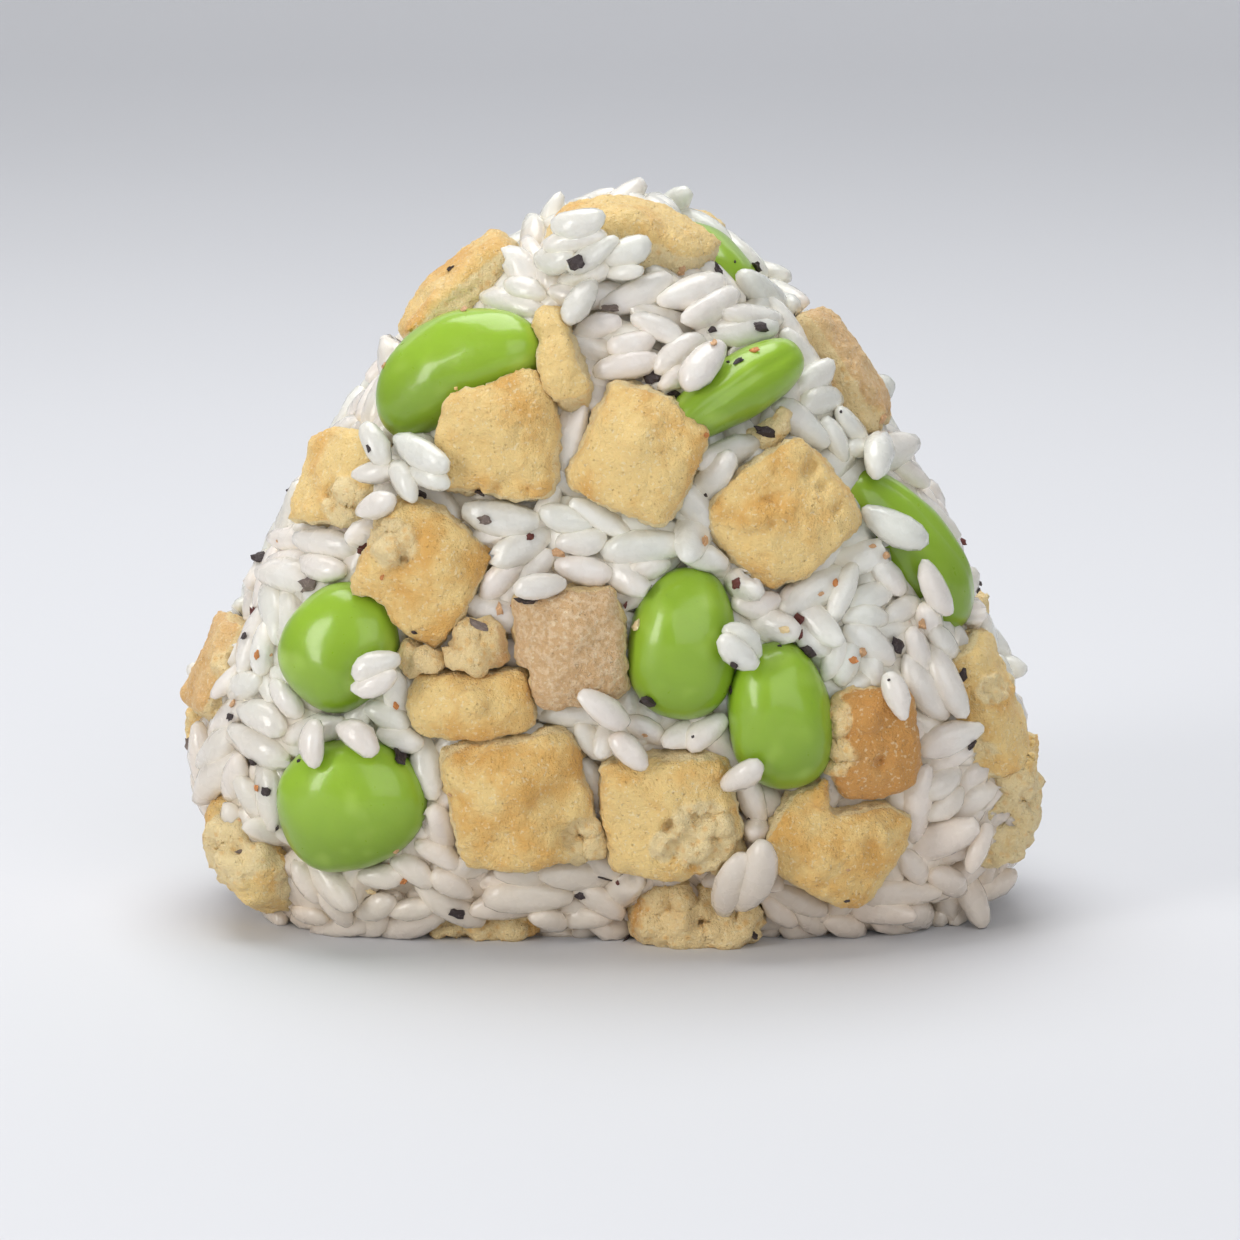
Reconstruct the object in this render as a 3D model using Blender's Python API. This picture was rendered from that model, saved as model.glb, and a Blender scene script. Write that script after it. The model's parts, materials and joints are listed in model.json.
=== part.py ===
"""A hand-pressed triangular rice ball with green soybeans, squares of fried tofu and pepper.

The rice is one solid: a pressed core with the grains and the pepper flakes that show fused on.
Every bean and every square of tofu is a solid of its own, set in a pocket of the core.
Sizes are in millimetres and MM turns them into metres. +Z is up and the front faces -Y.
The origin is the middle of the footprint, on the surface that the rice ball stands on.
"""
import math
import random
from collections import namedtuple

import bmesh
import bpy
from mathutils import Matrix, Vector, noise
from mathutils.bvhtree import BVHTree

MM = 0.001

# Pressed core: outline of its widest section as (x, z), anticlockwise from the peak
OUTLINE = (
    (0.5, 61.0), (-8.4, 57.8), (-17.0, 50.4), (-23.2, 41.4), (-29.4, 31.5), (-34.4, 21.5),
    (-36.0, 12.0), (-32.0, 3.4), (-24.0, -1.4), (0.0, -2.0), (23.5, -1.6), (31.4, 2.8),
    (34.4, 10.0), (32.9, 20.5), (28.6, 31.0), (22.3, 41.4), (15.6, 51.2), (8.3, 58.4),
)
HALF_DEPTH = 17.0
DEPTH_POWER = 3.0
CORE_MIDDLE_Z = 24.0
CORE_RINGS = 9
CORE_SIDES = 28
BUMP_HEIGHT = 0.9
BUMP_SPREAD = 16.0

# A place this far forward or back is on a face, and steeper than this looks up
FACE_START = 20.0
LOOKS_UP = 0.85

# Rice grains, drawn between a shortest and a longest
GRAIN_LENGTH = (6.4, 7.8)
GRAIN_WIDTH = (3.0, 3.4)
GRAIN_SIDES = 6
GRAIN_RINGS = 3
GRAIN_LIFT = 0.45
GRAIN_FULLNESS = 1.12
GRAIN_SPACING = 2.6
GRAIN_TRIES = 9000
GRAIN_SEED = 11
SHORTENED = (1, 0.75, 0.55)
GRAIN_MARKS = (-0.86, -0.5, 0, 0.5, 0.86)
LOWEST_GRAIN = -0.5
TURN_TRIES = 5

# Pepper flakes
FLAKE_SIZE = (1.8, 1.1, 0.7)
FLAKE_SEED = 5
FLAKE_DRAW = (0.8, 1.15)
FLAKE_SINK = 0.32
FLAKES_BEHIND = 8
BEHIND_ACROSS = (-24, 24)
BEHIND_UP = (8, 44)
FLAKE_START = 40

# Where the drawing's middle lies beside the middle of the whole
SHIFT = Vector((0.7, 0.3, 0.0))

# Clearances: a pocket keeps at least the gap to every side of its topping
BEAN_GAP = 0.35
SLAB_GAP = 0.8
GRAIN_GAP = 0.35
FOOT_GAP = 0.3
WELD = 0.0003
FLOOR_SPAN = 200.0
RICE_FLAT_ANGLE = 3.0
TOPPING_FLAT_ANGLE = 1.0
SHARP_ANGLE = 50.0

BEAN_TAPER = 0.08
BEND_MIDDLE = 0.4
BEAN_SIDES = 10
BEAN_RINGS = 6
POCKET_SIDES = 7
POCKET_RINGS = 5
LARGE_SLAB = 100.0
CRUST_RELIEF = 0.45
PILLOW = 0.5
WAIST = 1.03
EDGE_RELIEF = 0.9
RELIEF_SPREAD = 3.1
RELIEF_APART = 40

# Beans: near is the place that the piece is pressed in from, spin turns it anticlockwise as
# seen from outside, size is length, width and thickness, lift is how far its middle stands
# above the core, and bend makes a kidney of it
Bean = namedtuple("Bean", "name near spin size lift bend")
# Squares of tofu: size is width, height and thickness, arch lowers two edges, tip leans the
# face over, and squeeze rounds the outline
Slab = namedtuple("Slab", "name near spin size lift arch tip squeeze", defaults=(0.07,))

BEANS = (
    Bean("bean_upper_left", (-13.0, -22, 48.6), 34, (15.6, 8.8, 7.6), 0.8, 1.4),
    Bean("bean_behind_peak", (13.0, -2, 60.5), 50, (12.0, 7.6, 7.0), 0.1, 0.3),
    Bean("bean_upper_middle", (10.4, -22, 47.5), 26, (12.8, 7.4, 7.2), 0.5, 0.2),
    Bean("bean_right_shoulder", (35.0, -14, 38.5), -58, (15.4, 8.6, 7.4), 0.6, 0.4),
    Bean("bean_left", (-23.3, -22, 25.6), 60, (12.4, 10.4, 7.6), 0.4, 0.2),
    Bean("bean_lower_left", (-22.5, -22, 12.8), 20, (13.0, 11.2, 7.8), 0.7, 0.3),
    Bean("bean_middle", (5.3, -22, 26.8), 86, (12.8, 9.2, 7.6), 0.5, 0.3),
    Bean("bean_lower_right", (13.5, -22, 20.8), 98, (12.6, 8.8, 7.8), 0.7, 0.2),
    Bean("bean_back_right", (12, 22, 43), 30, (13.6, 9.0, 7.6), 0.4, 0.4),
    Bean("bean_back_left", (-15, 22, 31), -50, (14.0, 9.4, 7.6), 0.5, 0.6),
    Bean("bean_back_middle", (3, 22, 21), 80, (13.2, 9.6, 7.8), 0.4, 0.3),
    Bean("bean_back_low", (22, 22, 12.5), 10, (13.8, 10.2, 7.6), 0.5, 0.3),
    Bean("bean_back_corner", (-25, 20, 11), -20, (12.8, 10.0, 7.8), 0.4, 0.4),
    Bean("bean_back_top", (-6, 22, 51.5), 60, (13.0, 8.8, 7.4), 0.3, 0.3),
)

SLABS = (
    Slab("tofu_peak", (3.0, -8, 67), 4, (13.6, 8.4, 5.2), 1.3, 1.5, (0, 0), 0.22),
    Slab("tofu_left_wedge", (-18.1, -5, 60.9), 90, (11.4, 8.4, 3.2), 1.3, 0.4, (0, 0)),
    Slab("tofu_cream_strip", (-4.5, -22, 50.2), -66, (7.8, 2.6, 4.6), 0.6, 0.0, (0, 0)),
    Slab("tofu_upper_left", (-9.8, -22, 44.2), -5, (9.8, 10.2, 4.6), 0.5, 0.4, (0, 4)),
    Slab("tofu_upper_middle", (1.8, -22, 42.8), -25, (9.4, 9.6, 5.0), 0.4, 0.3, (8, -6)),
    Slab("tofu_upper_right", (13.4, -22, 37.6), 35, (10.2, 9.2, 4.6), 0.5, 0.5, (0, -6)),
    Slab("tofu_right_slope", (26.0, -4, 52.6), 90, (10.6, 8.4, 3.4), 1.3, 0.3, (0, 0)),
    Slab("tofu_left_shoulder", (-29, -14, 43), 10, (8.8, 7.6, 4.4), 0.2, 0.3, (0, 0)),
    Slab("tofu_middle_left", (-16.3, -22, 32.9), -30, (9.6, 9.6, 4.8), 0.3, 0.3, (0, 6)),
    Slab("tofu_left_edge", (-43, -4, 25.5), 5, (8.6, 8.4, 4.2), 0.5, 0.5, (0, 0)),
    Slab("tofu_flap", (-12.4, -22, 21.9), 3, (9.8, 5.2, 3.8), 0.5, 0.2, (10, 0)),
    Slab("tofu_sponge", (-13.6, -22, 25.8), 0, (8.6, 5.4, 4.0), 0.1, 0.0, (0, 0)),
    Slab("tofu_middle", (-4.1, -22, 26.8), 5, (8.8, 9.4, 4.8), 0.3, 0.2, (0, 0)),
    Slab("tofu_lower_left", (-8.6, -22, 13.4), 12, (11.4, 10.8, 4.8), 0.5, 0.5, (0, 0)),
    Slab("tofu_lower_middle", (4.3, -22, 12.6), 6, (11.2, 9.8, 5.0), 0.5, 0.3, (0, 0)),
    Slab("tofu_brown_side", (21.1, -22, 18.2), 8, (7.2, 9.2, 4.8), 0.2, 0.2, (0, -8)),
    Slab("tofu_lower_right", (17.8, -22, 10.0), -32, (10.2, 9.6, 5.0), 0.4, 0.4, (-12, 0)),
    Slab("tofu_right_edge", (37, -10, 22.5), 4, (9.0, 11.4, 4.4), 0.1, 0.8, (0, 0)),
    Slab("tofu_right_foot", (40, -7, 10.5), 0, (8.8, 10.0, 5.2), 0.0, 0.0, (0, 0)),
    Slab("tofu_left_foot", (-37, -12, 3.6), -42, (9.6, 7.8, 4.2), -0.1, 0.4, (0, 0)),
    Slab("tofu_front_foot", (6.3, -22, 2.6), 2, (10.4, 4.8, 4.0), 0.0, 0.0, (-34, 0)),
    Slab("tofu_under_left", (-11.6, -22, 0.9), 0, (9.2, 2.8, 3.6), -0.3, 0.0, (-45, 0)),
    Slab("tofu_right_behind", (38, 4, 33.5), 8, (8.0, 8.4, 4.0), 0.6, 0.3, (0, 0)),
    Slab("tofu_left_behind", (-42, 3, 12), 0, (7.6, 7.8, 3.8), 0.2, 0.2, (0, 0)),
    Slab("tofu_back_1", (0.5, 22, 37.5), 12, (10.6, 10.2, 4.8), 0.4, 0.4, (0, 0)),
    Slab("tofu_back_2", (14.5, 22, 29.5), -20, (11.0, 10.0, 4.6), 0.4, 0.4, (0, 5)),
    Slab("tofu_back_3", (-13.5, 22, 43.5), 35, (9.6, 9.8, 4.6), 0.4, 0.3, (0, 0)),
    Slab("tofu_back_4", (-27, 20, 23.5), -8, (10.4, 9.4, 4.4), 0.4, 0.5, (0, 0)),
    Slab("tofu_back_5", (-9.5, 22, 15.5), 20, (11.2, 10.4, 4.8), 0.4, 0.3, (4, 0)),
    Slab("tofu_back_6", (10.5, 22, 8.5), -12, (10.2, 9.0, 4.6), 0.4, 0.4, (0, 0)),
    Slab("tofu_back_7", (28, 20, 24.5), 30, (9.8, 9.0, 4.4), 0.3, 0.4, (0, 0)),
    Slab("tofu_left_back_slope", (-24, 18, 38.5), 15, (9.4, 9.0, 4.2), 0.2, 0.4, (0, 0)),
    Slab("tofu_right_back_slope", (25, 15, 43), -10, (9.0, 9.2, 4.2), 0.2, 0.4, (0, 0)),
    Slab("tofu_back_foot", (-4, 19, 4.2), 5, (9.8, 5.4, 4.0), 0.0, 0.2, (0, 0)),
    Slab("tofu_back_high", (4.5, 19, 58.5), 10, (9.6, 8.0, 4.2), 0.3, 0.5, (0, 0)),
)

# Pepper flakes on the front, as (x, z)
FRONT_FLAKES = (
    (-3.7, 59.4), (-0.7, 55.7), (2.8, 49.8), (8.3, 58.8), (12.1, 45.1), (-11.3, 37.6),
    (-25.9, 32.0), (-30.0, 34.3), (-30.6, 17.0), (-30.1, 14.6), (-18.4, 17.4), (-13.5, 4.1),
    (9.5, 25.3), (15.7, 26.5), (14.9, 29.1), (-1.2, 7.1),
)


def outline_point(turn):
    """The point of the smooth closed outline that is this share of the way round it."""
    count = len(OUTLINE)
    first = int(turn * count)
    part = turn * count - first
    before, start, end, after = (Vector(OUTLINE[(first + step) % count]) for step in (-1, 0, 1, 2))
    straight = (end - before) * part
    curved = (2 * before - 5 * start + 4 * end - after) * part**2
    twisted = (3 * start - before - 3 * end + after) * part**3
    return start + 0.5 * (straight + curved + twisted)


def core_point(turn, tilt):
    """A point of the core in millimetres: the outline shrinks to the front and back faces."""
    share = math.cos(tilt) ** (2 / DEPTH_POWER)
    depth = abs(math.sin(tilt)) ** (2 / DEPTH_POWER)
    across, up = outline_point(turn)
    point = Vector((
        across * share,
        math.copysign(HALF_DEPTH * depth, tilt),
        CORE_MIDDLE_Z + (up - CORE_MIDDLE_Z) * share,
    ))
    outward = (point - Vector((0, 0, CORE_MIDDLE_Z))).normalized()
    return point + outward * BUMP_HEIGHT * noise.noise(point / BUMP_SPREAD)


def core_mesh():
    """The pressed core as rings of points from the front face to the back face."""
    shape = bmesh.new()
    rings = []
    for ring in range(1, CORE_RINGS + 1):
        tilt = math.pi * (ring / (CORE_RINGS + 1) - 0.5)
        turns = (side / CORE_SIDES for side in range(CORE_SIDES))
        rings.append([shape.verts.new(core_point(turn, tilt) * MM) for turn in turns])
    for near_ring, far_ring in zip(rings, rings[1:]):
        for side in range(CORE_SIDES):
            after = (side + 1) % CORE_SIDES
            corners = (near_ring[side], near_ring[after], far_ring[after], far_ring[side])
            shape.faces.new(corners)
    for ring, tilt in ((rings[0], -math.pi / 2), (rings[-1], math.pi / 2)):
        middle = shape.verts.new(core_point(0, tilt) * MM)
        for side in range(CORE_SIDES):
            shape.faces.new((ring[side], ring[(side + 1) % CORE_SIDES], middle))
    bmesh.ops.triangulate(shape, faces=shape.faces)
    return closed_mesh("core", shape)


def closed_mesh(name, shape):
    """Turns a bmesh into a mesh with its faces pointing out."""
    bmesh.ops.recalc_face_normals(shape, faces=shape.faces)
    mesh = bpy.data.meshes.new(name)
    shape.to_mesh(mesh)
    shape.free()
    return mesh


def tree_of(mesh, matrix=Matrix.Identity(4)):
    """A search tree of a mesh's faces in world space."""
    points = [matrix @ vertex.co for vertex in mesh.vertices]
    return BVHTree.FromPolygons(points, [tuple(face.vertices) for face in mesh.polygons])


def touch(core_tree, near):
    """Where a piece meets the core, pressed straight into a face or, from nearer by, the rim."""
    start = Vector(near) * MM
    if abs(near[1]) >= FACE_START:
        point, outward, _, _ = core_tree.ray_cast(start, Vector((0, -math.copysign(1, near[1]), 0)))
        if point:
            return point, outward
    point, outward, _, _ = core_tree.find_nearest(start)
    return point, outward


def seat(core_tree, near, spin, lift, tip=(0, 0)):
    """The placing of a piece that lies on the core at the place called near."""
    point, outward = touch(core_tree, near)
    level = Vector((0, 1, 0)) if abs(outward.z) > LOOKS_UP else Vector((0, 0, 1))
    right = level.cross(outward).normalized()
    frame = Matrix((right, outward.cross(right), outward)).transposed().to_4x4()
    turned = frame @ Matrix.Rotation(math.radians(spin), 4, "Z")
    leaned = turned @ Matrix.Rotation(math.radians(tip[0]), 4, "X")
    leaned = leaned @ Matrix.Rotation(math.radians(tip[1]), 4, "Y")
    return Matrix.Translation(point + outward * lift * MM) @ leaned


def bean_mesh(bean, sides=BEAN_SIDES, rings=BEAN_RINGS, gap=0):
    """A bean: a flattened egg with a little kidney bend, longest along X."""
    length, width, thickness = ((value / 2 + gap) * MM for value in bean.size)
    shape = bmesh.new()
    bmesh.ops.create_uvsphere(shape, u_segments=sides, v_segments=rings, radius=1)
    for vertex in shape.verts:
        across, side, along = vertex.co
        taper = 1 - BEAN_TAPER * along
        bend = bean.bend * MM * (along**2 - BEND_MIDDLE)
        vertex.co = (along * length, side * width * taper - bend, across * thickness * taper)
    bmesh.ops.triangulate(shape, faces=shape.faces)
    return closed_mesh(bean.name, shape)


def slab_point(slab, across, up, level):
    """A point of a square of tofu; across, up and level run from -1 to 1."""
    width, height, thickness = (value / 2 for value in slab.size)
    point = Vector((
        across * width * (1 - slab.squeeze * up**2),
        up * height * (1 - slab.squeeze * across**2),
        level * thickness - slab.arch * across**2,
    ))
    if level > 0:
        point.z += PILLOW * (1 - across**2) * (1 - up**2)
    if level == 0:
        point.x *= WAIST
        point.y *= WAIST
    sample = point / RELIEF_SPREAD + Vector(slab.near)
    shift = [noise.noise(sample + Vector((0, 0, step * RELIEF_APART))) for step in (0, 1, 2)]
    point += Vector(shift) * EDGE_RELIEF
    point.z += noise.noise(sample * 2) * CRUST_RELIEF
    return point * MM


def slab_mesh(slab):
    """A cut square of fried tofu: a crusty puffed face, ragged sides and a flat back."""
    cells = 4 if slab.size[0] * slab.size[1] > LARGE_SLAB else 3
    steps = [2 * index / cells - 1 for index in range(cells + 1)]
    rim = [(step, -1.0) for step in steps[:-1]] + [(1.0, step) for step in steps[:-1]]
    rim += [(-across, -up) for across, up in rim]
    shape = bmesh.new()
    face = {(x, y): shape.verts.new(slab_point(slab, x, y, 1)) for x in steps for y in steps}
    for left, right in zip(steps, steps[1:]):
        for low, high in zip(steps, steps[1:]):
            corners = (face[left, low], face[right, low], face[right, high], face[left, high])
            shape.faces.new(corners)
    upper = [face[nearest_step(x, steps), nearest_step(y, steps)] for x, y in rim]
    for level in (0, -1):
        lower = [shape.verts.new(slab_point(slab, x, y, level)) for x, y in rim]
        for index in range(len(rim)):
            after = (index + 1) % len(rim)
            shape.faces.new((upper[index], upper[after], lower[after], lower[index]))
        upper = lower
    middle = shape.verts.new(slab_point(slab, 0, 0, -1))
    for index in range(len(rim)):
        shape.faces.new((upper[index], upper[(index + 1) % len(rim)], middle))
    bmesh.ops.triangulate(shape, faces=shape.faces)
    return closed_mesh(slab.name, shape)


def bean_pocket(bean):
    """The hollow for a bean: a coarser egg whose flat sides still clear the bean."""
    coarse = 1 / math.cos(math.pi / POCKET_SIDES) - 1
    gap = BEAN_GAP + coarse * bean.size[1] / 2
    return bean_mesh(bean, POCKET_SIDES, POCKET_RINGS, gap)


def slab_pocket(slab):
    """The hollow for a square of tofu: a plain block with a gap all round."""
    shape = bmesh.new()
    bmesh.ops.create_cube(shape, size=2)
    for vertex in shape.verts:
        vertex.co = Vector((
            vertex.co.x * (slab.size[0] / 2 + SLAB_GAP),
            vertex.co.y * (slab.size[1] / 2 + SLAB_GAP),
            vertex.co.z * (slab.size[2] / 2 + SLAB_GAP) - slab.arch * (vertex.co.z < 0),
        )) * MM
    bmesh.ops.triangulate(shape, faces=shape.faces)
    return closed_mesh(slab.name, shape)


def nearest_step(value, steps):
    """The grid step that a rim value stands for."""
    return min(steps, key=lambda step: abs(step - value))


def grain_mesh(length, width):
    """A rice grain with few sides, longest along X."""
    shape = bmesh.new()
    bmesh.ops.create_uvsphere(shape, u_segments=GRAIN_SIDES, v_segments=GRAIN_RINGS, radius=1)
    for vertex in shape.verts:
        across, side, along = vertex.co
        half = width / 2 * MM
        vertex.co = (along * length / 2 * MM, side * half * GRAIN_FULLNESS, across * half)
    bmesh.ops.triangulate(shape, faces=shape.faces)
    return closed_mesh("grain", shape)


def flake_mesh(size):
    """A thin chip of pepper with eight faces."""
    shape = bmesh.new()
    tips = [shape.verts.new(Vector(tip) * MM / 2) for tip in (
        (size[0], 0, 0), (0, size[1], 0), (-size[0], 0, 0), (0, -size[1], 0))]
    ends = [shape.verts.new((0, 0, size[2] * sign * MM / 2)) for sign in (1, -1)]
    for index, tip in enumerate(tips):
        for end in ends:
            shape.faces.new((tip, tips[(index + 1) % len(tips)], end))
    return closed_mesh("flake", shape)


def placed(name, mesh, matrix, collection):
    """An object with its mesh, placed by its location and rotation."""
    piece = bpy.data.objects.new(name, mesh)
    piece.matrix_world = matrix
    collection.objects.link(piece)
    return piece


def combine(target, operation, tools):
    """Applies one Boolean of a collection to the target and removes the collection's objects."""
    group = bpy.data.collections.new("tools")
    bpy.context.scene.collection.children.link(group)
    for name, mesh, matrix in tools:
        placed(name, mesh, matrix, group)
    change = target.modifiers.new("combine", "BOOLEAN")
    change.operation = operation
    change.operand_type = "COLLECTION"
    change.collection = group
    change.solver = "EXACT"
    bpy.context.view_layer.update()
    depsgraph = bpy.context.evaluated_depsgraph_get()
    result = bpy.data.meshes.new_from_object(target.evaluated_get(depsgraph))
    target.modifiers.remove(change)
    old = target.data
    target.data = result
    bpy.data.meshes.remove(old)
    for tool in list(group.objects):
        bpy.data.objects.remove(tool)
    bpy.data.collections.remove(group)


def shells_of(shape):
    """The connected sets of faces of a bmesh."""
    left = set(shape.faces)
    shells = []
    while left:
        shell = [left.pop()]
        for face in shell:
            beside = {other for edge in face.edges for other in edge.link_faces} & left
            left -= beside
            shell.extend(beside)
        shells.append(shell)
    return shells


def largest_body(piece, flat_angle):
    """Drops loose scraps, fills sealed hollows and joins faces that are nearly in one plane."""
    shape = bmesh.new()
    shape.from_mesh(piece.data)
    bmesh.ops.remove_doubles(shape, verts=shape.verts, dist=WELD * MM)
    bmesh.ops.dissolve_degenerate(shape, edges=shape.edges, dist=WELD * MM)
    flat = math.radians(flat_angle)
    bmesh.ops.dissolve_limit(shape, angle_limit=flat, verts=shape.verts, edges=shape.edges)
    bmesh.ops.triangulate(shape, faces=shape.faces)
    shells = shells_of(shape)
    spare = sorted(shells, key=len)[:-1]
    doomed = [face for shell in spare for face in shell]
    bmesh.ops.delete(shape, geom=doomed, context="FACES")
    shape.to_mesh(piece.data)
    shape.free()


def floor_block(top):
    """A block under the rice ball whose upper face is at the given height."""
    shape = bmesh.new()
    bmesh.ops.create_cube(shape, size=1)
    for vertex in shape.verts:
        height = top if vertex.co.z > 0 else -FLOOR_SPAN
        vertex.co = Vector((vertex.co.x * FLOOR_SPAN, vertex.co.y * FLOOR_SPAN, height)) * MM
    return closed_mesh("floor_block", shape)


def material(name, colour, roughness):
    """A plain finish."""
    finish = bpy.data.materials.new(name)
    finish.use_nodes = True
    shader = finish.node_tree.nodes["Principled BSDF"]
    shader.inputs["Base Color"].default_value = (*colour, 1)
    shader.inputs["Roughness"].default_value = roughness
    shader.inputs["Metallic"].default_value = 0
    return finish


def surface_darts(mesh, count, draw):
    """Places on a mesh, drawn evenly over its area."""
    faces = list(mesh.polygons)
    for face in draw.choices(faces, weights=[face.area for face in faces], k=count):
        first, second, third = (mesh.vertices[index].co for index in face.vertices)
        across, along = draw.random(), draw.random()
        if across + along > 1:
            across, along = 1 - across, 1 - along
        yield first + (second - first) * across + (third - first) * along


class Neighbours:
    """The toppings that a grain stays clear of."""

    def __init__(self, toppings):
        self.rows = []
        for _, mesh, matrix in toppings:
            reach = max(vertex.co.length for vertex in mesh.vertices)
            self.rows.append((tree_of(mesh, matrix), matrix.translation, reach))

    def clear(self, point, radius):
        """True if a ball at the point touches no topping."""
        for tree, middle, reach in self.rows:
            if (point - middle).length > reach + radius:
                continue
            nearest, normal, _, distance = tree.find_nearest(point)
            if distance < radius or (point - nearest).dot(normal) < 0:
                return False
        return True


def grain_clear(matrix, length, width, toppings):
    """True if a grain keeps its gap to every topping along its whole length."""
    for along in GRAIN_MARKS:
        radius = width / 2 * math.sqrt(1 - along**2) * GRAIN_FULLNESS + GRAIN_GAP
        if not toppings.clear(matrix @ Vector((along * length / 2 * MM, 0, 0)), radius * MM):
            return False
    return True


def spread_grains(core, core_tree, toppings):
    """Draws the grains that show: evenly spread, lying on the core and clear of the toppings."""
    draw = random.Random(GRAIN_SEED)
    taken = []
    grains = []
    for point in surface_darts(core, GRAIN_TRIES, draw):
        length = draw.uniform(*GRAIN_LENGTH)
        width = draw.uniform(*GRAIN_WIDTH)
        first_spin = draw.uniform(0, 360)
        crowded = any((point - other).length < GRAIN_SPACING * MM for other in taken)
        if crowded or point.z < LOWEST_GRAIN * MM:
            continue
        for attempt in range(TURN_TRIES * len(SHORTENED)):
            reach = length * SHORTENED[attempt // TURN_TRIES]
            spin = first_spin + attempt * 180 / TURN_TRIES
            matrix = seat(core_tree, point / MM, spin, GRAIN_LIFT)
            marks = [matrix @ Vector((step * reach / 3 * MM, 0, 0)) for step in (-1, 0, 1)]
            crowded = any(
                (mark - other).length < GRAIN_SPACING * MM for mark in marks for other in taken)
            if not crowded and grain_clear(matrix, reach, width, toppings):
                taken += marks
                grains.append(("grain", grain_mesh(reach, width), matrix))
                break
    return grains


def seat_flake(trees, start, direction, size, spin):
    """The placing of a flake where a ray first meets the core or a grain."""
    hits = [tree.ray_cast(start * MM, direction) for tree in trees]
    hits = [hit for hit in hits if hit[0]]
    if not hits:
        return None
    point, normal, _, _ = min(hits, key=lambda hit: hit[3])
    turn = normal.to_track_quat("Z", "Y").to_matrix().to_4x4()
    raised = point + normal * (size[2] / 2 - FLAKE_SINK) * MM
    return Matrix.Translation(raised) @ turn @ Matrix.Rotation(spin, 4, "Z")


def spread_flakes(core_tree, grains, toppings):
    """Pepper flakes on the grains of the front and back, clear of the toppings."""
    draw = random.Random(FLAKE_SEED)
    trees = [core_tree] + [tree_of(mesh, matrix) for _, mesh, matrix in grains]
    starts = [(Vector((x, -FLAKE_START, z)), Vector((0, 1, 0))) for x, z in FRONT_FLAKES]
    for _ in range(FLAKES_BEHIND):
        start = Vector((draw.uniform(*BEHIND_ACROSS), FLAKE_START, draw.uniform(*BEHIND_UP)))
        starts.append((start, Vector((0, -1, 0))))
    flakes = []
    for start, direction in starts:
        size = [value * draw.uniform(*FLAKE_DRAW) for value in FLAKE_SIZE]
        matrix = seat_flake(trees, start, direction, size, draw.uniform(0, math.pi))
        if matrix and toppings.clear(matrix.translation, (size[0] / 2 + GRAIN_GAP) * MM):
            flakes.append(("flake", flake_mesh(size), matrix))
    return flakes


def overlaps(one, other):
    """True if two placed meshes cross."""
    return bool(tree_of(one[1], one[2]).overlap(tree_of(other[1], other[2])))


def make_toppings(core_tree):
    """Seats every bean and square of tofu; where two would cross, the later one gives way."""
    rows = []
    pockets = []
    for bean in BEANS:
        matrix = seat(core_tree, bean.near, bean.spin, bean.lift)
        rows.append((bean.name, bean_mesh(bean), matrix))
        pockets.append((bean.name, bean_pocket(bean), matrix))
    for slab in SLABS:
        matrix = seat(core_tree, slab.near, slab.spin, slab.lift, slab.tip)
        rows.append((slab.name, slab_mesh(slab), matrix))
        pockets.append((slab.name, slab_pocket(slab), matrix))
    toppings = Neighbours(rows)
    pieces = []
    for index, row in enumerate(rows):
        piece = placed(*row, bpy.context.scene.collection)
        tools = [(name, mesh.copy(), matrix) for name, mesh, matrix in pockets[:index]
                 if overlaps((name, mesh, matrix), row)]
        if min((row[2] @ vertex.co).z for vertex in row[1].vertices) < FOOT_GAP * MM:
            tools.append(("floor_block", floor_block(FOOT_GAP), Matrix.Identity(4)))
        if tools:
            combine(piece, "DIFFERENCE", tools)
            largest_body(piece, TOPPING_FLAT_ANGLE)
        pieces.append(piece)
    return pieces, pockets, toppings


def make_rice(core, core_tree, pockets, toppings):
    """The rice: the core with a pocket for each topping and the grains and flakes fused on."""
    grains = spread_grains(core, core_tree, toppings)
    flakes = spread_flakes(core_tree, grains, toppings)
    rice = placed("rice", core, Matrix.Identity(4), bpy.context.scene.collection)
    combine(rice, "DIFFERENCE", pockets)
    combine(rice, "UNION", grains + flakes)
    floor = ("floor_block", floor_block(0), Matrix.Identity(4))
    combine(rice, "DIFFERENCE", [floor])
    largest_body(rice, RICE_FLAT_ANGLE)
    return rice


def main():
    """Builds the rice ball in an empty scene."""
    for old in list(bpy.data.objects):
        bpy.data.objects.remove(old)
    rice_finish = material("rice", (0.74, 0.72, 0.68), 0.35)
    bean_finish = material("bean", (0.30, 0.52, 0.04), 0.25)
    tofu_finish = material("tofu", (0.80, 0.53, 0.18), 0.75)
    core = core_mesh()
    core_tree = tree_of(core)
    pieces, pockets, toppings = make_toppings(core_tree)
    rice = make_rice(core, core_tree, pockets, toppings)
    rice.data.materials.clear()
    rice.data.materials.append(rice_finish)
    for piece in pieces:
        piece.data.materials.clear()
        piece.data.materials.append(bean_finish if piece.name.startswith("bean") else tofu_finish)
    for piece in [rice, *pieces]:
        piece.location += SHIFT * MM
        piece.data.shade_smooth()
        piece.data.set_sharp_from_angle(angle=math.radians(SHARP_ANGLE))


main()
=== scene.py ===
"""Looks of a hand-pressed triangular rice ball with green soybeans, fried tofu and pepper."""
import json
import math
import random
from collections import namedtuple

import bpy
import numpy as np
from bpy.props import FloatProperty, FloatVectorProperty, IntProperty, PointerProperty
from bpy.types import Operator, Panel, PropertyGroup
from mathutils import Matrix, Vector, noise
from mathutils.bvhtree import BVHTree

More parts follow.
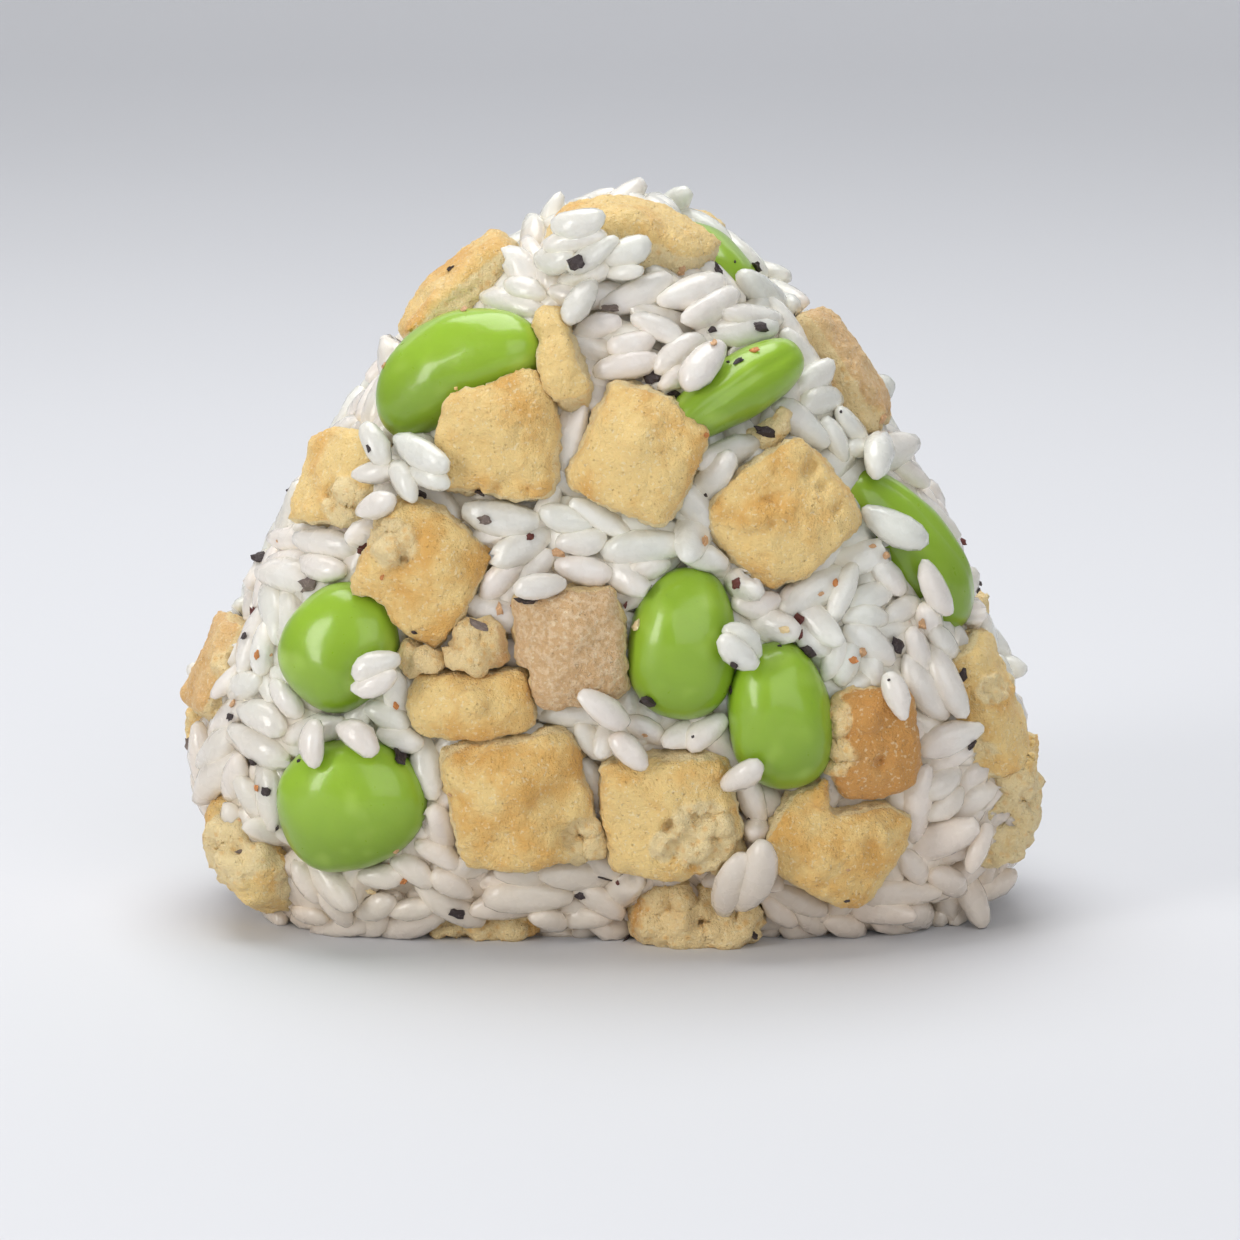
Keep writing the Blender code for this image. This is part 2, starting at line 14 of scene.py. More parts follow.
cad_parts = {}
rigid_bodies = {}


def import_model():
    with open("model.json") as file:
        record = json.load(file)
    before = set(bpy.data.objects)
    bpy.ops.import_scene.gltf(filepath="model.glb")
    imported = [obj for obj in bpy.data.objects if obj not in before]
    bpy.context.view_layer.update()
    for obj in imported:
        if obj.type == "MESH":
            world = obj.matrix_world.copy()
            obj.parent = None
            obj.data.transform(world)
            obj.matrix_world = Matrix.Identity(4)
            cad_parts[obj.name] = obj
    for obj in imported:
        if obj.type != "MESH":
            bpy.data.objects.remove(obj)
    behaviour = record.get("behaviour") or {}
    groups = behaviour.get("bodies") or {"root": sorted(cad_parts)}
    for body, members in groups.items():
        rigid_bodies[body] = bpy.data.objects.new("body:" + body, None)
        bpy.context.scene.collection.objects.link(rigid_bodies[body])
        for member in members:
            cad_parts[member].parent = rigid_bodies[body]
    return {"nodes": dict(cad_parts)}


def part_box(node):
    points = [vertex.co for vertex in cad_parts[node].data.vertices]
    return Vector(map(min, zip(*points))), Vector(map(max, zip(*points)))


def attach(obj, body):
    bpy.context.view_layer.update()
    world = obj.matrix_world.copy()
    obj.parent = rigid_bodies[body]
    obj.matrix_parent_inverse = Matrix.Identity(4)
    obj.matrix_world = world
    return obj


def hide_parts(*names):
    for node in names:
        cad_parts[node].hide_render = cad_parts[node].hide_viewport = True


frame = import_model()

bl_info = {
    "name": "Rice Ball with Green Soybeans and Fried Tofu",
    "version": (1, 0, 0),
    "blender": (4, 5, 0),
    "location": "3D View > Sidebar > Rice Ball",
    "description": "Lays the grains, beans, fried tofu and pepper of a pressed rice ball",
    "category": "Object",
}

# Millimetres to metres
MM = 0.001

# Pressed core: outline of its widest section as (x, z), anticlockwise from the peak
OUTLINE = (
    (0.5, 61.0), (-8.4, 57.8), (-17.0, 50.4), (-23.2, 41.4), (-29.4, 31.5), (-34.4, 21.5),
    (-36.0, 12.0), (-32.0, 3.4), (-24.0, -1.4), (0.0, -2.0), (23.5, -1.6), (31.4, 2.8),
    (34.4, 10.0), (32.9, 20.5), (28.6, 31.0), (22.3, 41.4), (15.6, 51.2), (8.3, 58.4),
)

# The core in mm: half its depth, how flat its faces are, the height of its middle, its soft bumps
HALF_DEPTH = 17.0
DEPTH_POWER = 3.0
CORE_MIDDLE_Z = 24.0
BUMP_HEIGHT = 0.9
BUMP_SPREAD = 16.0

# A piece placed this far front or back, in mm, is set on the core straight from there
FACE_START = 20.0

# A surface that faces up more than this is turned by its depth and not by its height
LOOKS_UP = 0.85

# From the outline to the frame of the solids, in mm
SHIFT = Vector((0.7, 0.3, 0.0))

# The view that places given in view points belong to: a square of 1240 points
VIEW_SIDE = 1240
SENSOR_WIDTH = 36
VIEW_TARGET = Vector((0.7, 0.3, 25.5)) * MM

Bean = namedtuple("Bean", "node near spin size lift bend crease")
BEANS = (
    Bean("bean_upper_left", (-13.0, -22, 48.6), 34, (15.6, 8.8, 7.6), 0.8, 1.4, None),
    Bean("bean_behind_peak", (13.0, -2, 60.5), 50, (12.0, 7.6, 7.0), 0.1, 0.3, None),
    Bean("bean_upper_middle", (10.4, -22, 47.5), 28, (14.4, 5.4, 7.2), 0.5, 0.2, 0.15),
    Bean("bean_right_shoulder", (35.0, -14, 38.5), -62, (17.0, 8.2, 7.4), 0.6, 0.4, 0.1),
    Bean("bean_left", (-23.3, -22, 25.6), 60, (11.2, 9.8, 7.6), 0.4, 0.2, None),
    Bean("bean_lower_left", (-22.5, -22, 12.8), 20, (13.0, 11.2, 7.8), 0.7, 0.3, None),
    Bean("bean_middle", (5.3, -22, 26.8), 86, (12.8, 9.2, 7.6), 0.5, 0.3, None),
    Bean("bean_lower_right", (13.5, -22, 20.8), 98, (12.6, 8.8, 7.8), 0.7, 0.2, None),
    Bean("bean_back_right", (12, 22, 43), 30, (13.6, 9.0, 7.6), 0.4, 0.4, None),
    Bean("bean_back_left", (-15, 22, 31), -50, (14.0, 9.4, 7.6), 0.5, 0.6, 0.2),
    Bean("bean_back_middle", (3, 22, 21), 80, (13.2, 9.6, 7.8), 0.4, 0.3, None),
    Bean("bean_back_low", (22, 22, 12.5), 10, (13.8, 10.2, 7.6), 0.5, 0.3, None),
    Bean("bean_back_corner", (-25, 20, 11), -20, (12.8, 10.0, 7.8), 0.4, 0.4, 0.15),
    Bean("bean_back_top", (-6, 22, 51.5), 60, (13.0, 8.8, 7.4), 0.3, 0.3, None),
)

# How far a bean lies beside its solid, in mm
BEAN_NUDGES = {
    "bean_behind_peak": (-3.0, 0.6, -0.4), "bean_right_shoulder": (-1.8, -0.4, -0.3),
    "bean_upper_middle": (-1.2, -0.3, 0.2), "bean_left": (0, 0, 0.4),
}

# How full a bean is: 2 is an egg, more is squarer
PLUMPNESS = 2.25

# How far each square of fried tofu is toasted, from 0, pale, to 1, brown
TOASTED = {
    "tofu_middle": 0.85, "tofu_brown_side": 0.9, "tofu_sponge": 0.7, "tofu_left_edge": 0.6,
    "tofu_right_slope": 0.65, "tofu_right_behind": 0.6, "tofu_front_foot": 0.75,
    "tofu_under_left": 0.65, "tofu_middle_left": 0.4, "tofu_flap": 0.35, "tofu_left_wedge": 0.35,
    "tofu_upper_right": 0.3, "tofu_lower_left": 0.35, "tofu_lower_right": 0.35,
    "tofu_back_2": 0.5, "tofu_back_4": 0.6, "tofu_back_6": 0.4, "tofu_back_foot": 0.6,
}
USUAL_TOAST = 0.22

# How bready a square's crust is, from 0 to 1
FLUFFY = {
    "tofu_middle": 1, "tofu_sponge": 0.5, "tofu_right_slope": 0.6, "tofu_left_edge": 0.4,
    "tofu_right_behind": 0.5, "tofu_back_2": 0.8, "tofu_back_4": 0.5,
}

# How far a square lies beside its solid, in mm
SQUARE_NUDGES = {
    "tofu_peak": (-0.6, 0, -1.4), "tofu_right_behind": (-1.0, 0.8, -3.6),
    "tofu_right_slope": (-0.6, 0, 0.3), "tofu_left_wedge": (-1.0, 0, -0.6),
    "tofu_left_behind": (1.3, 0.4, 0), "tofu_right_foot": (-1.2, 0, 0),
    "tofu_right_edge": (-0.5, 0, -0.6),
}

# Where the view shows the torn chip
CHIP_AT = (774, 428)

# Height in mm by which the middle of a square is puffed up
PUFF = 0.9

# Hollows (positive) and lumps (negative) of the tofu: view point, radius in points, depth in mm
PRESSES = (
    ("tofu_lower_left", 574, 840, 24, 2.2), ("tofu_lower_left", 600, 800, 16, 0.8),
    ("tofu_lower_left", 472, 765, 22, 0.5), ("tofu_lower_left", 520, 790, 26, -0.5),
    ("tofu_lower_middle", 690, 822, 13, 1.2), ("tofu_lower_middle", 715, 818, 13, 1.3),
    ("tofu_lower_middle", 668, 828, 10, 1.0), ("tofu_lower_middle", 735, 815, 10, 1.0),
    ("tofu_lower_middle", 625, 862, 14, -0.7), ("tofu_lower_middle", 700, 848, 16, -0.6),
    ("tofu_lower_right", 822, 796, 15, -1.2), ("tofu_lower_right", 850, 800, 16, 1.0),
    ("tofu_lower_right", 872, 846, 14, 0.8), ("tofu_lower_right", 822, 860, 24, -0.5),
    ("tofu_right_foot", 1005, 822, 11, 1.6), ("tofu_right_foot", 996, 795, 7, 1.0),
    ("tofu_right_foot", 1020, 800, 6, 0.9), ("tofu_right_foot", 990, 840, 7, 0.8),
    ("tofu_right_edge", 985, 700, 20, -0.5), ("tofu_brown_side", 842, 740, 14, 0.9),
    ("tofu_brown_side", 880, 762, 10, 0.8), ("tofu_brown_side", 868, 722, 16, -0.6),
    ("tofu_upper_left", 498, 420, 26, -0.6), ("tofu_upper_left", 512, 482, 18, 0.7),
    ("tofu_upper_middle", 640, 440, 24, -0.6), ("tofu_upper_right", 780, 500, 16, 0.6),
    ("tofu_upper_right", 752, 520, 16, -0.5), ("tofu_upper_right", 812, 470, 12, 0.9),
    ("tofu_middle_left", 400, 560, 14, 0.9), ("tofu_middle_left", 392, 535, 8, 0.8),
    ("tofu_middle_left", 440, 570, 24, -0.6), ("tofu_left_shoulder", 335, 492, 12, 0.9),
    ("tofu_left_shoulder", 352, 505, 8, 0.8), ("tofu_left_edge", 235, 668, 10, 0.9),
    ("tofu_left_edge", 205, 680, 14, -0.5), ("tofu_left_foot", 222, 846, 12, 1.4),
    ("tofu_left_foot", 258, 860, 18, -0.6), ("tofu_peak", 650, 222, 20, -0.4),
    ("tofu_peak", 610, 218, 14, 0.4), ("tofu_front_foot", 705, 925, 10, 1.2),
    ("tofu_front_foot", 735, 915, 8, 1.0), ("tofu_front_foot", 684, 898, 12, -0.8),
    ("tofu_upper_left", 480, 488, 9, 0.8), ("tofu_upper_left", 496, 489, 9, 0.8),
    ("tofu_upper_left", 528, 488, 9, 0.8), ("tofu_upper_right", 800, 440, 9, 0.7),
    ("tofu_upper_right", 811, 462, 9, 0.7), ("tofu_upper_right", 823, 486, 9, 0.7),
    ("tofu_upper_right", 836, 508, 9, 0.7), ("tofu_upper_right", 768, 500, 9, 0.6),
    ("tofu_upper_right", 772, 524, 9, 0.6), ("tofu_upper_right", 790, 505, 12, -0.5),
    ("tofu_flap", 470, 700, 20, -0.6), ("tofu_sponge", 440, 652, 10, 0.9),
    ("tofu_sponge", 480, 640, 12, 0.8), ("tofu_middle", 572, 640, 24, -0.5),
)

# Where the crust is torn off and the open crumb shows: view point and radius in points
TORN = (
    ("tofu_lower_middle", 700, 836, 44), ("tofu_lower_middle", 665, 846, 20),
    ("tofu_lower_left", 580, 840, 28), ("tofu_brown_side", 834, 718, 24),
    ("tofu_brown_side", 836, 755, 24), ("tofu_right_foot", 1000, 822, 75),
    ("tofu_front_foot", 700, 915, 80), ("tofu_sponge", 450, 645, 60),
    ("tofu_left_shoulder", 345, 500, 26), ("tofu_middle_left", 395, 545, 30),
    ("tofu_left_foot", 235, 850, 40), ("tofu_left_edge", 232, 668, 22),
    ("tofu_right_edge", 992, 690, 20), ("tofu_under_left", 480, 935, 60),
    ("tofu_right_slope", 870, 420, 20),
)

# Squares at the back whose crust is torn all over
TORN_BEHIND = {
    "tofu_back_3": 0.5, "tofu_back_5": 0.7, "tofu_left_behind": 0.6, "tofu_back_high": 0.4,
}

# Grains that stand out at the front: the two ends of each, in view points
NEAR_GRAINS = (
    (646, 278, 680, 246), (662, 254, 716, 273), (660, 303, 726, 284),
    (684, 324, 737, 292), (611, 350, 654, 338),
    (630, 316, 684, 340), (592, 377, 657, 361), (657, 377, 705, 340), (690, 388, 716, 350),
    (764, 318, 801, 350), (807, 350, 836, 388), (801, 404, 836, 393),
    (839, 390, 852, 415), (825, 423, 845, 455), (850, 423, 869, 440), (851, 448, 867, 444),
    (585, 264, 640, 256),
    (505, 275, 480, 297), (544, 292, 512, 286), (565, 268, 622, 262), (600, 290, 560, 320),
    (575, 335, 612, 322), (605, 550, 693, 545), (622, 578, 671, 570),
    (696, 553, 724, 557), (707, 542, 715, 570), (463, 512, 540, 524), (471, 560, 496, 564),
    (479, 592, 523, 561), (512, 592, 570, 583), (556, 564, 616, 578), (540, 512, 594, 526),
    (562, 542, 600, 540), (734, 603, 775, 608), (773, 613, 836, 559), (770, 635, 786, 646),
    (829, 623, 854, 560), (825, 679, 849, 641), (797, 635, 822, 652), (578, 698, 630, 715),
    (573, 723, 605, 759), (619, 729, 638, 767), (622, 688, 657, 707), (633, 723, 660, 737),
    (693, 734, 723, 718), (731, 635, 751, 652), (732, 764, 753, 778), (187, 790, 215, 705),
    (228, 696, 260, 676), (260, 676, 267, 620), (277, 676, 306, 710), (304, 754, 330, 730),
    (311, 698, 345, 710), (347, 717, 374, 754), (374, 705, 398, 715),
    (393, 739, 422, 730), (240, 705, 286, 730), (204, 778, 224, 814), (224, 827, 272, 802),
    (393, 851, 420, 875), (422, 843, 454, 860), (442, 812, 463, 831), (366, 865, 391, 875),
    (437, 875, 468, 892), (296, 863, 325, 899), (316, 887, 350, 923), (359, 916, 393, 899),
    (393, 911, 430, 909), (289, 907, 316, 916), (443, 914, 486, 918), (488, 918, 524, 927),
    (869, 442, 885, 480), (847, 467, 869, 487), (876, 435, 920, 476),
    (861, 551, 904, 591), (858, 612, 879, 598), (885, 617, 917, 603),
    (854, 610, 879, 610), (824, 684, 844, 635), (844, 625, 894, 664),
    (879, 804, 919, 851), (931, 814, 959, 794), (988, 821, 969, 871),
    (969, 896, 994, 883), (929, 873, 964, 891), (899, 851, 926, 881), (867, 878, 894, 908),
    (827, 918, 864, 933), (904, 908, 929, 921), (934, 896, 954, 918),
    (765, 908, 790, 918), (780, 859, 795, 891), (795, 908, 824, 933),
    (725, 863, 735, 888), (971, 595, 1004, 632), (727, 640, 750, 655), (405, 496, 414, 469),
    (426, 469, 442, 484), (365, 516, 397, 504), (355, 395, 385, 360), (345, 440, 375, 405),
    (285, 500, 330, 540), (300, 560, 345, 575), (262, 545, 290, 520), (340, 560, 375, 590),
    (484, 894, 573, 894), (526, 867, 573, 876), (575, 885, 626, 909), (620, 894, 667, 905),
    (640, 871, 693, 874), (535, 918, 562, 920), (546, 934, 575, 934), (577, 932, 595, 936),
    (604, 925, 626, 927), (575, 918, 604, 918), (711, 885, 733, 865), (698, 862, 711, 876),
    (470, 927, 488, 932), (933, 635, 951, 660),
)

# Grains that lie over a topping at the front
COVERING_GRAINS = (
    (548, 262, 600, 222), (555, 243, 606, 219), (742, 247, 772, 282), (748, 262, 790, 288),
    (735, 270, 775, 300), (770, 270, 805, 320), (627, 487, 718, 518), (699, 432, 770, 452),
    (357, 676, 398, 662), (852, 519, 926, 539), (922, 562, 947, 616),
    (869, 669, 914, 719), (894, 664, 939, 724), (931, 637, 964, 719),
    (911, 749, 981, 729), (914, 796, 959, 769), (363, 426, 391, 463), (357, 473, 397, 471),
    (736, 907, 769, 842), (742, 766, 765, 824), (399, 451, 426, 441), (420, 445, 442, 462),
    (355, 690, 392, 668), (566, 268, 618, 240), (600, 262, 650, 246),
    (545, 280, 572, 246), (560, 286, 612, 266), (598, 278, 642, 264),
)

# Pepper flakes at the front: view point, width and height in points, turn in degrees, kind
FLAKES = (
    (576, 264, 16, 14, 0, "black"), (612, 308, 20, 8, -15, "grey"), (653, 377, 18, 15, 0, "black"),
    (676, 394, 14, 12, 20, "black"), (719, 272, 8, 16, 15, "black"), (713, 330, 9, 6, 20, "black"),
    (759, 327, 14, 12, -30, "black"), (739, 361, 12, 6, 45, "black"),
    (765, 432, 20, 10, -20, "black"), (737, 584, 11, 11, 0, "red"), (630, 604, 11, 9, 0, "red"),
    (485, 520, 12, 9, 0, "grey"), (530, 537, 7, 7, 60, "red"), (369, 449, 9, 4, -60, "black"),
    (421, 496, 10, 11, 0, "black"), (362, 548, 12, 11, 45, "red"), (261, 559, 16, 17, 0, "black"),
    (310, 586, 18, 18, 0, "grey"), (414, 632, 6, 5, 0, "black"), (479, 626, 20, 8, -35, "grey"),
    (527, 600, 20, 12, 20, "black"), (230, 717, 9, 7, 45, "black"), (254, 762, 20, 8, 35, "black"),
    (266, 792, 10, 9, -30, "black"), (257, 788, 9, 6, -20, "orange"),
    (400, 757, 24, 15, 25, "black"), (458, 914, 18, 11, -35, "black"),
    (649, 700, 16, 16, 0, "black"), (734, 665, 9, 9, 30, "black"), (731, 691, 6, 10, 0, "black"),
    (798, 620, 13, 13, 40, "red"), (808, 651, 13, 13, 0, "black"), (897, 645, 14, 14, -40, "black"),
    (963, 676, 8, 17, 0, "black"), (978, 590, 9, 5, -50, "black"), (580, 896, 10, 8, 0, "black"),
    (604, 878, 18, 4, -30, "black"), (618, 883, 5, 5, 0, "red"), (628, 936, 22, 5, 20, "black"),
    (754, 936, 9, 8, 0, "black"), (847, 901, 6, 4, 0, "black"), (749, 819, 4, 4, 0, "black"),
    (681, 270, 7, 11, -20, "tan"), (714, 343, 6, 12, 0, "tan"), (754, 351, 11, 6, -10, "orange"),
    (706, 435, 7, 5, 0, "orange"), (706, 495, 4, 4, 0, "black"), (704, 541, 9, 10, 0, "tan"),
    (836, 583, 8, 8, 0, "orange"), (560, 552, 14, 10, 0, "tan"), (382, 578, 4, 7, -30, "orange"),
    (500, 610, 7, 12, 10, "tan"), (233, 704, 8, 9, 20, "tan"), (396, 705, 5, 8, 20, "orange"),
    (404, 880, 9, 11, 0, "orange"), (257, 655, 5, 9, 0, "orange"), (784, 630, 11, 7, -10, "cream"),
    (637, 625, 9, 12, 0, "cream"), (886, 555, 7, 7, 0, "tan"), (923, 624, 8, 12, 0, "tan"),
    (384, 366, 7, 6, 0, "tan"), (371, 892, 10, 7, -10, "cream"), (853, 660, 8, 7, 0, "orange"),
    (862, 652, 9, 10, 0, "tan"), (277, 541, 3, 3, 0, "tan"), (240, 820, 5, 3, 0, "tan"),
    (277, 828, 4, 9, 20, "black"), (299, 761, 4, 4, 0, "black"), (396, 851, 6, 5, 40, "tan"),
    (450, 795, 5, 5, 0, "tan"), (645, 735, 5, 5, 0, "tan"), (693, 737, 3, 3, 0, "black"),
    (873, 546, 7, 4, 0, "tan"), (821, 594, 6, 4, 20, "tan"), (841, 412, 3, 3, 0, "black"),
    (848, 870, 4, 3, 0, "tan"), (735, 262, 3, 3, 0, "black"), (889, 680, 3, 3, 0, "black"),
    (780, 646, 5, 3, 0, "black"), (728, 362, 4, 3, 0, "black"), (271, 655, 4, 3, 0, "tan"),
    (983, 592, 5, 11, 40, "black"),
)
FLAKE_COLOURS = {
    "black": (0.035, 0.022, 0.022), "grey": (0.16, 0.12, 0.10), "red": (0.11, 0.022, 0.016),
    "tan": (0.56, 0.33, 0.17), "orange": (0.52, 0.20, 0.055), "cream": (0.72, 0.55, 0.30),
}

# What the flakes on the sides and back are drawn from
BEHIND_KINDS = ("black", "black", "black", "grey", "red", "tan", "orange", "tan")

# Layers of scattered grains: height over the core in mm, lean in radians, room between grains as
# a share of the spacing, and tries
Layer = namedtuple("Layer", "height lean room tries")
UPPER = Layer(0.5, 0.13, 1.12, 30000)
FILLING = Layer(0.15, 0.13, 1.0, 20000)
LOWER = Layer(-0.4, 0.15, 1.0, 20000)

# Facets of a grain, sides and rings: in the upper layer and in the two below it
UPPER_FACETS = (10, 7)
LOWER_FACETS = (8, 6)

# How far the core lies inside the surface that the grains are laid on, in mm
CORE_INSET = 0.7

# How loose a grain lies, from 0 to 1: over a topping, standing out at the front, scattered
OVER_TOPPING = 0.1
STANDING_OUT = 0.2
SCATTERED = 1.0

# How close grains come, as a share of their radii, and how much overlap in mm one may keep
CLOSENESS = 0.72
MOST_OVERLAP = 4.5

# Height over the core, in mm, above which a topping shows through the rice
SHOWS_FROM = 0.3

# How steeply a grain at the front may lean out of the rice: rise over length
MOST_RISE = 0.28

# Round parts of the view that scattered grains keep clear: place and radius in points
CLEAR = ((738, 250, 20), (502, 931, 9))

GrainForm = namedtuple("GrainForm", "bend nick blunt flat")
GRAIN_FORMS = (
    GrainForm(0.10, 0.10, 0.10, 0.80), GrainForm(0.20, 0.05, -0.06, 0.76),
    GrainForm(0.02, 0.16, 0.14, 0.84), GrainForm(0.30, 0.08, 0.05, 0.78),
    GrainForm(-0.12, 0.12, -0.12, 0.82), GrainForm(0.06, 0.22, 0.02, 0.72),
    GrainForm(0.16, 0.02, 0.18, 0.86), GrainForm(-0.24, 0.10, 0.08, 0.78),
)


class RiceSettings(PropertyGroup):
    """Sizes and colours of the rice."""

    colour: FloatVectorProperty(
        name="Colour", description="Lit rice", default=(0.755, 0.745, 0.685), size=3,
        subtype="COLOR", min=0, max=1)
    blush: FloatVectorProperty(
        name="Blush", description="Warmer patches of the rice", default=(0.765, 0.70, 0.645),
        size=3, subtype="COLOR", min=0, max=1)
    # Painted shade: a darker, warmer colour painted where grains lie deep or touch and over the
    # sunken core, standing in for the shade between grains.
    hollow_shade: FloatVectorProperty(
        name="Hollows", description="Rice deep between the grains", default=(0.56, 0.50, 0.38),
        size=3, subtype="COLOR", min=0, max=1)
    length: FloatProperty(
        name="Grain Length", description="Usual length of a cooked grain", default=0.0074,
        unit="LENGTH", min=0.004, max=0.01)
    width: FloatProperty(
        name="Grain Width", description="Usual width of a cooked grain", default=0.0030,
        unit="LENGTH", min=0.002, max=0.005)
    spacing: FloatProperty(
        name="Spacing", description="Least room between two grains' middles", default=0.0014,
        unit="LENGTH", min=0.001, max=0.006)
    seed: IntProperty(name="Seed", description="Draws another lie of the grains", default=4)


class BeanSettings(PropertyGroup):
    """Colours of the green soybeans."""

    colour: FloatVectorProperty(
        name="Colour", description="Fresh green of the skin", default=(0.30, 0.49, 0.030),
        size=3, subtype="COLOR", min=0, max=1)
    # Painted shade: this duller green is painted low on each bean, mixed with soft random mottling.
    deep: FloatVectorProperty(
        name="Deep Green", description="Duller green low on the beans",
        default=(0.20, 0.33, 0.018), size=3, subtype="COLOR", min=0, max=1)
    gloss: FloatProperty(
        name="Roughness", description="How matt the skin is", default=0.24, subtype="FACTOR",
        min=0, max=1)


class TofuSettings(PropertyGroup):
    """Sizes and colours of the fried tofu."""

    crust: FloatVectorProperty(
        name="Crust", description="Pale golden crust", default=(0.87, 0.63, 0.26), size=3,
        subtype="COLOR", min=0, max=1)
    orange: FloatVectorProperty(
        name="Deep Crust", description="Deeper golden patches", default=(0.74, 0.39, 0.085),
        size=3, subtype="COLOR", min=0, max=1)
    brown: FloatVectorProperty(
        name="Toasted", description="Toasted squares", default=(0.55, 0.25, 0.06), size=3,
        subtype="COLOR", min=0, max=1)
    crumb: FloatVectorProperty(
        name="Crumb", description="Cream inside that the cut sides show",
        default=(0.84, 0.68, 0.37), size=3, subtype="COLOR", min=0, max=1)
    detail: FloatProperty(
        name="Detail", description="Size of the facets", default=0.0003, unit="LENGTH",
        min=0.0002, max=0.001)
    wrinkle: FloatProperty(
        name="Wrinkles", description="Height of the crust's wrinkles", default=0.0005,
        unit="LENGTH", min=0, max=0.002)
    pores: FloatProperty(
        name="Pores", description="Depth of the pores of the cut sides", default=0.0006,
        unit="LENGTH", min=0, max=0.003)


class PepperSettings(PropertyGroup):
    """Amount of ground pepper."""

    behind: IntProperty(
        name="Flakes Behind", description="Flakes on the sides and back", default=95, min=0,
        max=400)
    seed: IntProperty(name="Seed", description="Draws other flakes", default=7)


class StageSettings(PropertyGroup):
    """The floor, light and camera."""

    backdrop: FloatVectorProperty(
        name="Backdrop", description="Floor and wall", default=(0.70, 0.705, 0.73), size=3,
        subtype="COLOR", min=0, max=1)
    window: FloatProperty(
        name="Window", description="Power of the large light on the left, in watts",
        default=1.85, min=0)
    fill: FloatProperty(
        name="Fill", description="Power of the light on the right, in watts", default=2.3, min=0)
    wash: FloatProperty(
        name="Wall Wash", description="Power of the light on the wall, in watts", default=2.7,
        min=0)
    sky: FloatProperty(
        name="Surroundings", description="Strength of the light from all around", default=0.30,
        min=0)
    lens: FloatProperty(
        name="Lens", description="Focal length", default=150, unit="CAMERA", min=20, max=400)
    distance: FloatProperty(
        name="Distance", description="From the camera to the rice ball", default=0.45,
        unit="LENGTH", min=0.1, max=2)
    elevation: FloatProperty(
        name="Elevation", description="Height of the camera above the horizon",
        default=math.radians(11), subtype="ANGLE", unit="ROTATION", min=0, max=1.5)


# Modelling helpers


def clear_selection():
    """Leaves edit mode and selects nothing."""
    if bpy.context.object and bpy.context.object.mode != "OBJECT":
        bpy.ops.object.mode_set(mode="OBJECT")
    bpy.ops.object.select_all(action="DESELECT")


def pick(piece):
    """Selects one piece and makes it active."""
    clear_selection()
    piece.select_set(True)
    bpy.context.view_layer.objects.active = piece


def name_piece(name):
    """Names the primitive that was just added."""
    piece = bpy.context.object
    piece.name = name
    piece.data.name = name
    return piece


def shape_with(piece, kind, **settings):
    """Adds one modifier to a piece and applies it."""
    pick(piece)
    modifier = piece.modifiers.new(kind.title(), kind)
    for key, value in settings.items():
        setattr(modifier, key, value)
    bpy.ops.object.modifier_apply(modifier=modifier.name)


def roughen(piece, name, kind, size, strength, middle, group=""):
    """Moves a piece's points by a solid texture, with features of a size in mm."""
    texture = bpy.data.textures.get(name) or bpy.data.textures.new(name, kind)
    texture.noise_scale = size * MM
    if kind == "CLOUDS":
        texture.noise_depth = 1
    shape_with(piece, "DISPLACE", texture=texture, strength=strength, mid_level=middle,
               vertex_group=group)


def weigh(piece, name, weights, least=-1.0):
    """Adds a vertex group: the weight of each point, where it is more than the least."""
    group = piece.vertex_groups.new(name=name)
    for index in np.nonzero(weights > least)[0]:
        group.add((int(index),), float(weights[index]), "REPLACE")


def keep_order(piece):
    """Gives a primitive's points and faces an order that is the same in every run."""
    points = [vertex.co.copy() for vertex in piece.data.vertices]
    order = sorted(range(len(points)), key=lambda index: [round(part, 5) for part in points[index]])
    ranks = {index: rank for rank, index in enumerate(order)}
    polygons = []
    for face in piece.data.polygons:
        corners = [ranks[index] for index in face.vertices]
        first = corners.index(min(corners))
        polygons.append((*corners[first:], *corners[:first]))
    piece.data.clear_geometry()
    piece.data.from_pydata([points[index] for index in order], [], sorted(polygons))
    piece.data.update()


def face_outward(piece):
    """Makes a closed piece's faces point outward."""
    pick(piece)
    bpy.ops.object.mode_set(mode="EDIT")
    bpy.ops.mesh.select_all(action="SELECT")
    bpy.ops.mesh.normals_make_consistent(inside=False)
    bpy.ops.object.mode_set(mode="OBJECT")


def points_of(piece):
    """A mesh's points as an array."""
    points = np.empty(len(piece.data.vertices) * 3, np.float32)
    piece.data.vertices.foreach_get("co", points)
    return points.reshape(-1, 3).astype(float)


def normals_of(piece):
    """The outward directions at a mesh's points as an array."""
    normals = np.empty(len(piece.data.vertices) * 3, np.float32)
    piece.data.vertices.foreach_get("normal", normals)
    return normals.reshape(-1, 3)


def faces_of(piece):
    """A mesh's faces as tuples of point numbers."""
    return [tuple(face.vertices) for face in piece.data.polygons]


def raise_to_floor(points):
    """Moves points that are below the floor up onto it."""
    points[:, 2] = np.maximum(points[:, 2], 0.0)
    return points


def set_points(piece, points):
    """Moves a mesh's points."""
    piece.data.vertices.foreach_set("co", np.asarray(points, np.float32).ravel())
    piece.data.update()


def set_values(piece, name, values):
    """Stores one number at each point, for the materials."""
    attribute = piece.data.attributes.new(name, "FLOAT", "POINT")
    attribute.data.foreach_set("value", np.asarray(values, np.float32))


def tree_of(piece):
    """A search tree of a finished piece's faces."""
    return BVHTree.FromPolygons([vertex.co for vertex in piece.data.vertices], faces_of(piece))


def height_over(tree, point):
    """How far a place stands above a tree's surface, and the surface's direction there."""
    place, normal, _, distance = tree.find_nearest(point)
    return (distance if (point - place).dot(normal) > 0 else -distance), normal


